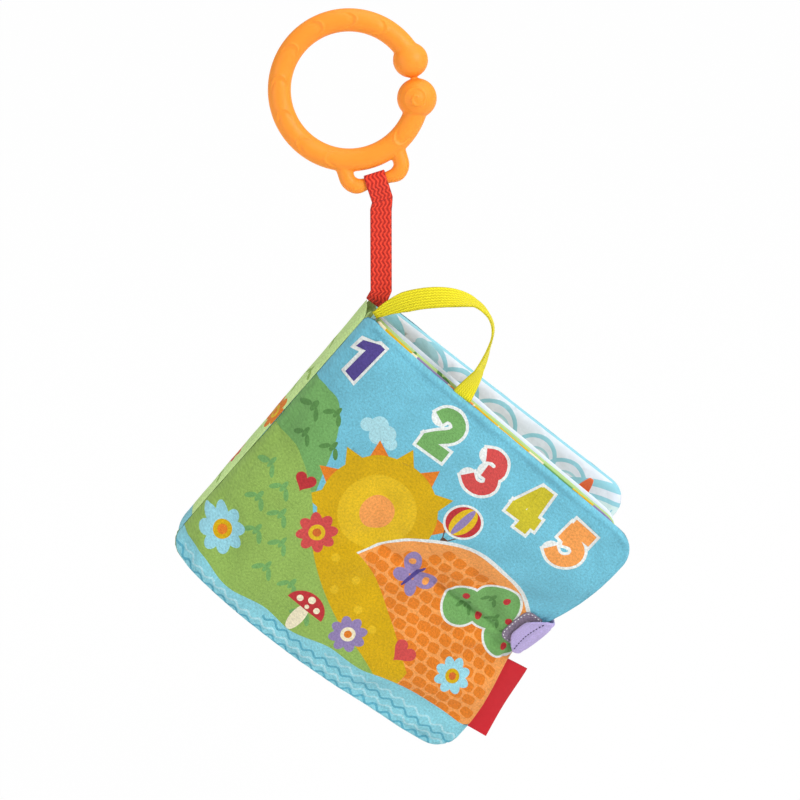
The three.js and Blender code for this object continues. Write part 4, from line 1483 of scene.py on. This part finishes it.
def handle():
    """The handle's route, with a half twist on the way, narrower where its first foot is gathered."""
    line = [Vector(p) for p in smooth(HANDLE_LINE, HANDLE_STEPS)]
    line.insert(0, line[0] - (line[1] - line[0]).normalized() * HANDLE_SEWN)
    line.append(line[-1] + (line[-1] - line[-2]).normalized() * HANDLE_SEWN)
    stations = []
    last = len(line) - 1
    for k, here in enumerate(line):
        share = min(max((k - 1) / (last - 2), 0), 1)
        along = (line[min(k + 1, last)] - line[max(k - 1, 0)]).normalized()
        knot = share * (len(HANDLE_LINE) - 1)
        twist = math.radians(float(np.interp(knot, range(len(HANDLE_TWIST)), HANDLE_TWIST)))
        side = along.cross(Vector((0, 1, 0))).normalized()
        depthward = side.cross(along)
        across = side * math.cos(twist) + depthward * math.sin(twist)
        out = along.cross(across).normalized()
        gathered = max(1 - share / GATHER_REACH_SHARE, 0)
        width = WEBBING_WIDTH * (1 - (1 - HANDLE_GATHER_SHARE) * gathered)
        centre = Vector(to_scene([here])[0])
        stations.append((centre, scene_direction(across), scene_direction(out), width))
    piece = tape("handle_webbing", stations, YELLOW_WEBBING, "yellow_webbing", "handle_ribbon")
    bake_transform(piece)


# Clip ring

BORE_DIAMETER = 55
RING_SECTION = 11
RING_LEAN = 16
BALL_DIAMETER = 16.7
DISC_DIAMETER = 18.9
BALL_BEARING = 26
END_INSET = 0.7
END_GAP = 0.37
LUG_BEARING = -72.7
SLOT_LENGTH = 19.3
SLOT_HEIGHT = 3.4
LUG_SIDE_EXTRA = 0.9
RING_RADIUS = (BORE_DIAMETER + RING_SECTION) / 2
END_RADIUS = RING_RADIUS - END_INSET
BALL_TURN = math.radians(BALL_BEARING)
DISC_TURN = BALL_TURN - 2 * math.asin(((BALL_DIAMETER + DISC_DIAMETER) / 2 + END_GAP) / 2 / END_RADIUS)
SCALE_BEARINGS = [58, 84, 112, 140, 168, 196, 224, 250, 312]
SCALE_RISE = 0.42
SCALE_LINE = 0.6
VOXEL = 0.42


def tube(whole, path, radii, sides=40):
    """A round bar along a path in the ring's plane, closed at both ends."""
    rings = []
    turns = [math.tau * n / sides for n in range(sides)]
    for k, here in enumerate(path):
        along = (path[min(k + 1, len(path) - 1)] - path[max(k - 1, 0)]).normalized()
        aside = Vector((-along.y, along.x, 0))
        spokes = [aside * math.cos(t) + Vector((0, 0, math.sin(t))) for t in turns]
        rings.append([whole.verts.new(here + spoke * radii[k]) for spoke in spokes])
    for first, second in zip(rings, rings[1:]):
        for n in range(sides):
            whole.faces.new((first[n], first[n - 1], second[n - 1], second[n]))
    whole.faces.new(rings[0])
    whole.faces.new(rings[-1][::-1])


def on_ring(turn, radius):
    """A place in the ring's plane, from the bore's middle."""
    return Vector((math.cos(turn) * radius, math.sin(turn) * radius, 0))


def lug():
    """The lug's path in the ring's plane and its radii, thicker at the sides than at the bar."""
    corner = (SLOT_HEIGHT + LUG_SECTION) / 2 + LUG_SIDE_EXTRA
    half = (SLOT_LENGTH + LUG_SECTION) / 2 + LUG_SIDE_EXTRA
    level = (SLOT_HEIGHT + LUG_SECTION) / 2
    foot = -(SLOT_HEIGHT / 2 + 4 + level / 2)
    bend = Vector((half - corner, level - corner, 0))
    turns = np.linspace(0, math.pi / 2, 12)
    bends = [bend + Vector((math.sin(t), math.cos(t), 0)) * corner for t in turns]
    bar = [Vector((share * (half - corner), level, 0)) for share in (0, 0.35, 0.7)]
    right = bar[1:] + bends + [Vector((half, foot, 0))]
    path = [Vector((-p.x, p.y, 0)) for p in right[::-1]] + bar[:1] + right
    radii = [LUG_SECTION / 2 + LUG_SIDE_EXTRA * min(max((abs(p.x) - 6) / 4, 0), 1) for p in path]
    centre = on_ring(math.radians(LUG_BEARING), RING_RADIUS + (RING_SECTION + SLOT_HEIGHT) / 2)
    turn = math.radians(LUG_BEARING) - math.pi / 2
    cos, sin = math.cos(turn), math.sin(turn)
    return [Vector((p.x * cos - p.y * sin, p.x * sin + p.y * cos, 0)) + centre for p in path], radii


def ring_relief(points):
    """How far the moulded scales on the rim and the swirl on the disc stand out."""
    rise = np.zeros(len(points))
    turn = np.arctan2(points[:, 1], points[:, 0])
    radius = np.hypot(points[:, 0], points[:, 1])
    face = np.clip(np.abs(points[:, 2]) / 1.5, 0, 1)
    aside = radius - RING_RADIUS
    on_tube = (np.abs(aside) < 4.3) & (np.abs(points[:, 2]) < RING_SECTION)
    for bearing in SCALE_BEARINGS:
        run = (np.angle(np.exp(1j * (turn - math.radians(bearing))))) * RING_RADIUS
        behind = run - 2.4 * (np.abs(aside) / 3.2) ** 3
        ridge = SCALE_RISE * np.exp(-((behind / SCALE_LINE) ** 2))
        dip = SCALE_RISE * 0.9 * np.exp(-(((behind - 1.9) / 1.5) ** 2))
        rise += np.where(on_tube, (ridge - dip) * np.clip((3.9 - np.abs(aside)) / 0.9, 0, 1), 0)
    centre = on_ring(DISC_TURN, END_RADIUS)
    across, up = points[:, 0] - centre.x, points[:, 1] - centre.y
    away, bearing = np.hypot(across, up), np.arctan2(up, across)
    swirl = np.cos(bearing - away * 1.55)
    on_disc = np.clip((6.4 - away) / 1.2, 0, 1) * np.clip(away / 1.2, 0, 1)
    rise += 0.55 * np.exp(-(((1 - swirl) / 0.5) ** 2)) * on_disc
    return rise * face


def clip_ring():
    """The ring, its lug and its two ends, melted together by a remesh, with its relief moulded on."""
    whole = bmesh.new()
    sweep = math.tau - (BALL_TURN - DISC_TURN)
    arc_places = [on_ring(BALL_TURN + sweep * k / 160, RING_RADIUS) for k in range(161)]
    tube(whole, arc_places, [RING_SECTION / 2] * len(arc_places))
    tube(whole, *lug(), sides=28)
    for turn, diameter in ((BALL_TURN, BALL_DIAMETER), (DISC_TURN, DISC_DIAMETER)):
        made = bmesh.ops.create_uvsphere(whole, u_segments=48, v_segments=32, radius=diameter / 2)
        bmesh.ops.translate(whole, verts=made["verts"], vec=on_ring(turn, END_RADIUS))
    mesh = bpy.data.meshes.new("rough_ring")
    whole.to_mesh(mesh)
    whole.free()
    rough = bpy.data.objects.new("rough_ring", mesh)
    bpy.context.scene.collection.objects.link(rough)
    remesh = rough.modifiers.new("Moulding", "REMESH")
    remesh.mode = "VOXEL"
    remesh.voxel_size = VOXEL
    soften = rough.modifiers.new("Fillets", "CORRECTIVE_SMOOTH")
    soften.use_only_smooth = True
    soften.iterations = 7
    shaped = bpy.data.meshes.new_from_object(rough.evaluated_get(bpy.context.evaluated_depsgraph_get()))
    bpy.data.objects.remove(rough)
    points = np.zeros(len(shaped.vertices) * 3)
    normals = np.zeros(len(shaped.vertices) * 3)
    shaped.vertices.foreach_get("co", points)
    shaped.vertices.foreach_get("normal", normals)
    points, normals = points.reshape(-1, 3), normals.reshape(-1, 3)
    points = points + normals * ring_relief(points)[:, None]
    lean = math.radians(RING_LEAN)
    up = np.array([0, math.sin(lean), math.cos(lean)])
    out = np.array([0, -math.cos(lean), math.sin(lean)])
    right = np.array([1, 0, 0])
    set_points = (points @ np.array([right, up, out]) - up * BORE_DIAMETER / 2) * MM
    shaped.vertices.foreach_set("co", set_points.ravel())
    add_piece("clip_ring", shaped, PLASTIC, "ring", "orange_plastic", "link_ring")


# Stage


FLOOR_GLOW_SHARE = 0.985
SENSOR_WIDTH = 36


def pale_floor():
    """A pale floor that looks white and still takes a little shadow."""
    bpy.ops.mesh.primitive_plane_add(size=6, location=(0, 0.6, -0.47))
    floor = bpy.context.object
    floor.name = "floor"
    f = Finish("pale floor", Roughness=0.9)
    f.feed(f.shader.inputs["Base Color"], (0.93, 0.93, 0.93, 1))
    paths = f.add("ShaderNodeLightPath")
    seen = f.math("MAXIMUM", paths.outputs["Is Camera Ray"], paths.outputs["Is Glossy Ray"])
    seen = f.math("MAXIMUM", seen, paths.outputs["Is Transmission Ray"])
    share = f.math("MULTIPLY", seen, FLOOR_GLOW_SHARE)
    glow = f.add("ShaderNodeEmission", None, Color=(1, 1, 1, 1), Strength=1.0)
    mix = f.add("ShaderNodeMixShader", None, n0=share, n1=f.shader.outputs[0], n2=glow.outputs[0])
    f.tree.links.new(mix.outputs[0], f.tree.nodes["Material Output"].inputs["Surface"])
    floor.data.materials.append(f.material)


def stage():
    """The floor, the light and the camera."""
    pale_floor()
    scene = bpy.context.scene
    scene.world = bpy.data.worlds.new("studio")
    scene.world.use_nodes = True
    tree = scene.world.node_tree
    background = tree.nodes["Background"]
    background.inputs["Color"].default_value = (1, 1, 1, 1)
    paths = tree.nodes.new("ShaderNodeLightPath")
    spread = tree.nodes.new("ShaderNodeMapRange")
    spread.inputs["To Min"].default_value = WORLD_LIGHT
    spread.inputs["To Max"].default_value = 1.0
    tree.links.new(paths.outputs["Is Camera Ray"], spread.inputs["Value"])
    tree.links.new(spread.outputs[0], background.inputs["Strength"])
    for name, place, size, watts in LAMPS:
        light = bpy.data.lights.new(name, "AREA")
        light.size, light.energy = size, watts
        lamp = bpy.data.objects.new(name, light)
        scene.collection.objects.link(lamp)
        lamp.location = place
        lamp.rotation_euler = (AIM - Vector(place)).to_track_quat("-Z", "Y").to_euler()
    camera = bpy.data.objects.new("camera", bpy.data.cameras.new("camera"))
    scene.collection.objects.link(camera)
    elevation = math.radians(CAMERA_ELEVATION)
    camera.location = AIM + Vector((0, -math.cos(elevation), math.sin(elevation))) * CAMERA_DISTANCE
    camera.rotation_euler = (math.pi / 2 - elevation, 0, 0)
    camera.data.lens = CAMERA_LENS
    camera.data.sensor_width = SENSOR_WIDTH
    scene.camera = camera
    scene.view_settings.view_transform = "Standard"


AIM = Vector((0.02408, -0.01923, -0.1817))
CAMERA_ELEVATION = 24
CAMERA_DISTANCE = 1.5
CAMERA_LENS = 137.7
WORLD_LIGHT = 0.44
LAMPS = [
    ("key", (0.95, -0.7, 0.7), 0.55, 15),
    ("fill", (-1.1, -0.7, 0.1), 0.9, 5.6),
    ("top", (0.2, 0.2, 1.0), 0.8, 4.5),
]

VELOUR = velour("printed_velour")
TAB_VELOUR = velour("lilac_velour", "lilac")
THIN_CLOTH = thin_cloth("printed_cloth")
# Each webbing's second colour is the painted shade in its grooves
RED_WEBBING = webbing("red_webbing", "strap red", "strap shade red", 1.95, 0.52, 1.4)
YELLOW_WEBBING = webbing("yellow_webbing", "handle yellow", "handle shade yellow", 1.3, 0.18, 3.9)
SATIN = satin("red_satin", "label red")
FELT = felt("orange_felt", "felt orange")
FASTENER = fastener("fastener_tape", "grey lilac")
PLASTIC = plastic("orange_plastic", "ring orange")
PURPLE_THREAD = thread("purple_thread", "thread purple")
PALE_THREAD = thread("pale_thread", "white")
# The red stitches reuse the dark red of the strap's painted groove shade
RED_THREAD = thread("red_thread", "strap shade red")

stage()
clip_ring()
strap()
cover("front_cover", front_print(), meadow_print(), "cream")
cover("back_cover", back_print(), crescents(3, 20, 168, 4, 160) + corner_prints(), "paper white")
meadow = (meadow_print(), "cream")
leafy = (leafy_print(), "pale green")
wavy = [(crescents(number, 8, 168, 8, 150), "paper white") for number in (5, 6, 7)]
page("page_1", "cream_cloth", meadow, wavy[0])
page("page_2", "green_cloth", leafy, wavy[1])
page("page_3", "white_cloth", wavy[2], meadow)
felt_point()
spine()
closure_tab()
label()
fastener_patches()
handle()
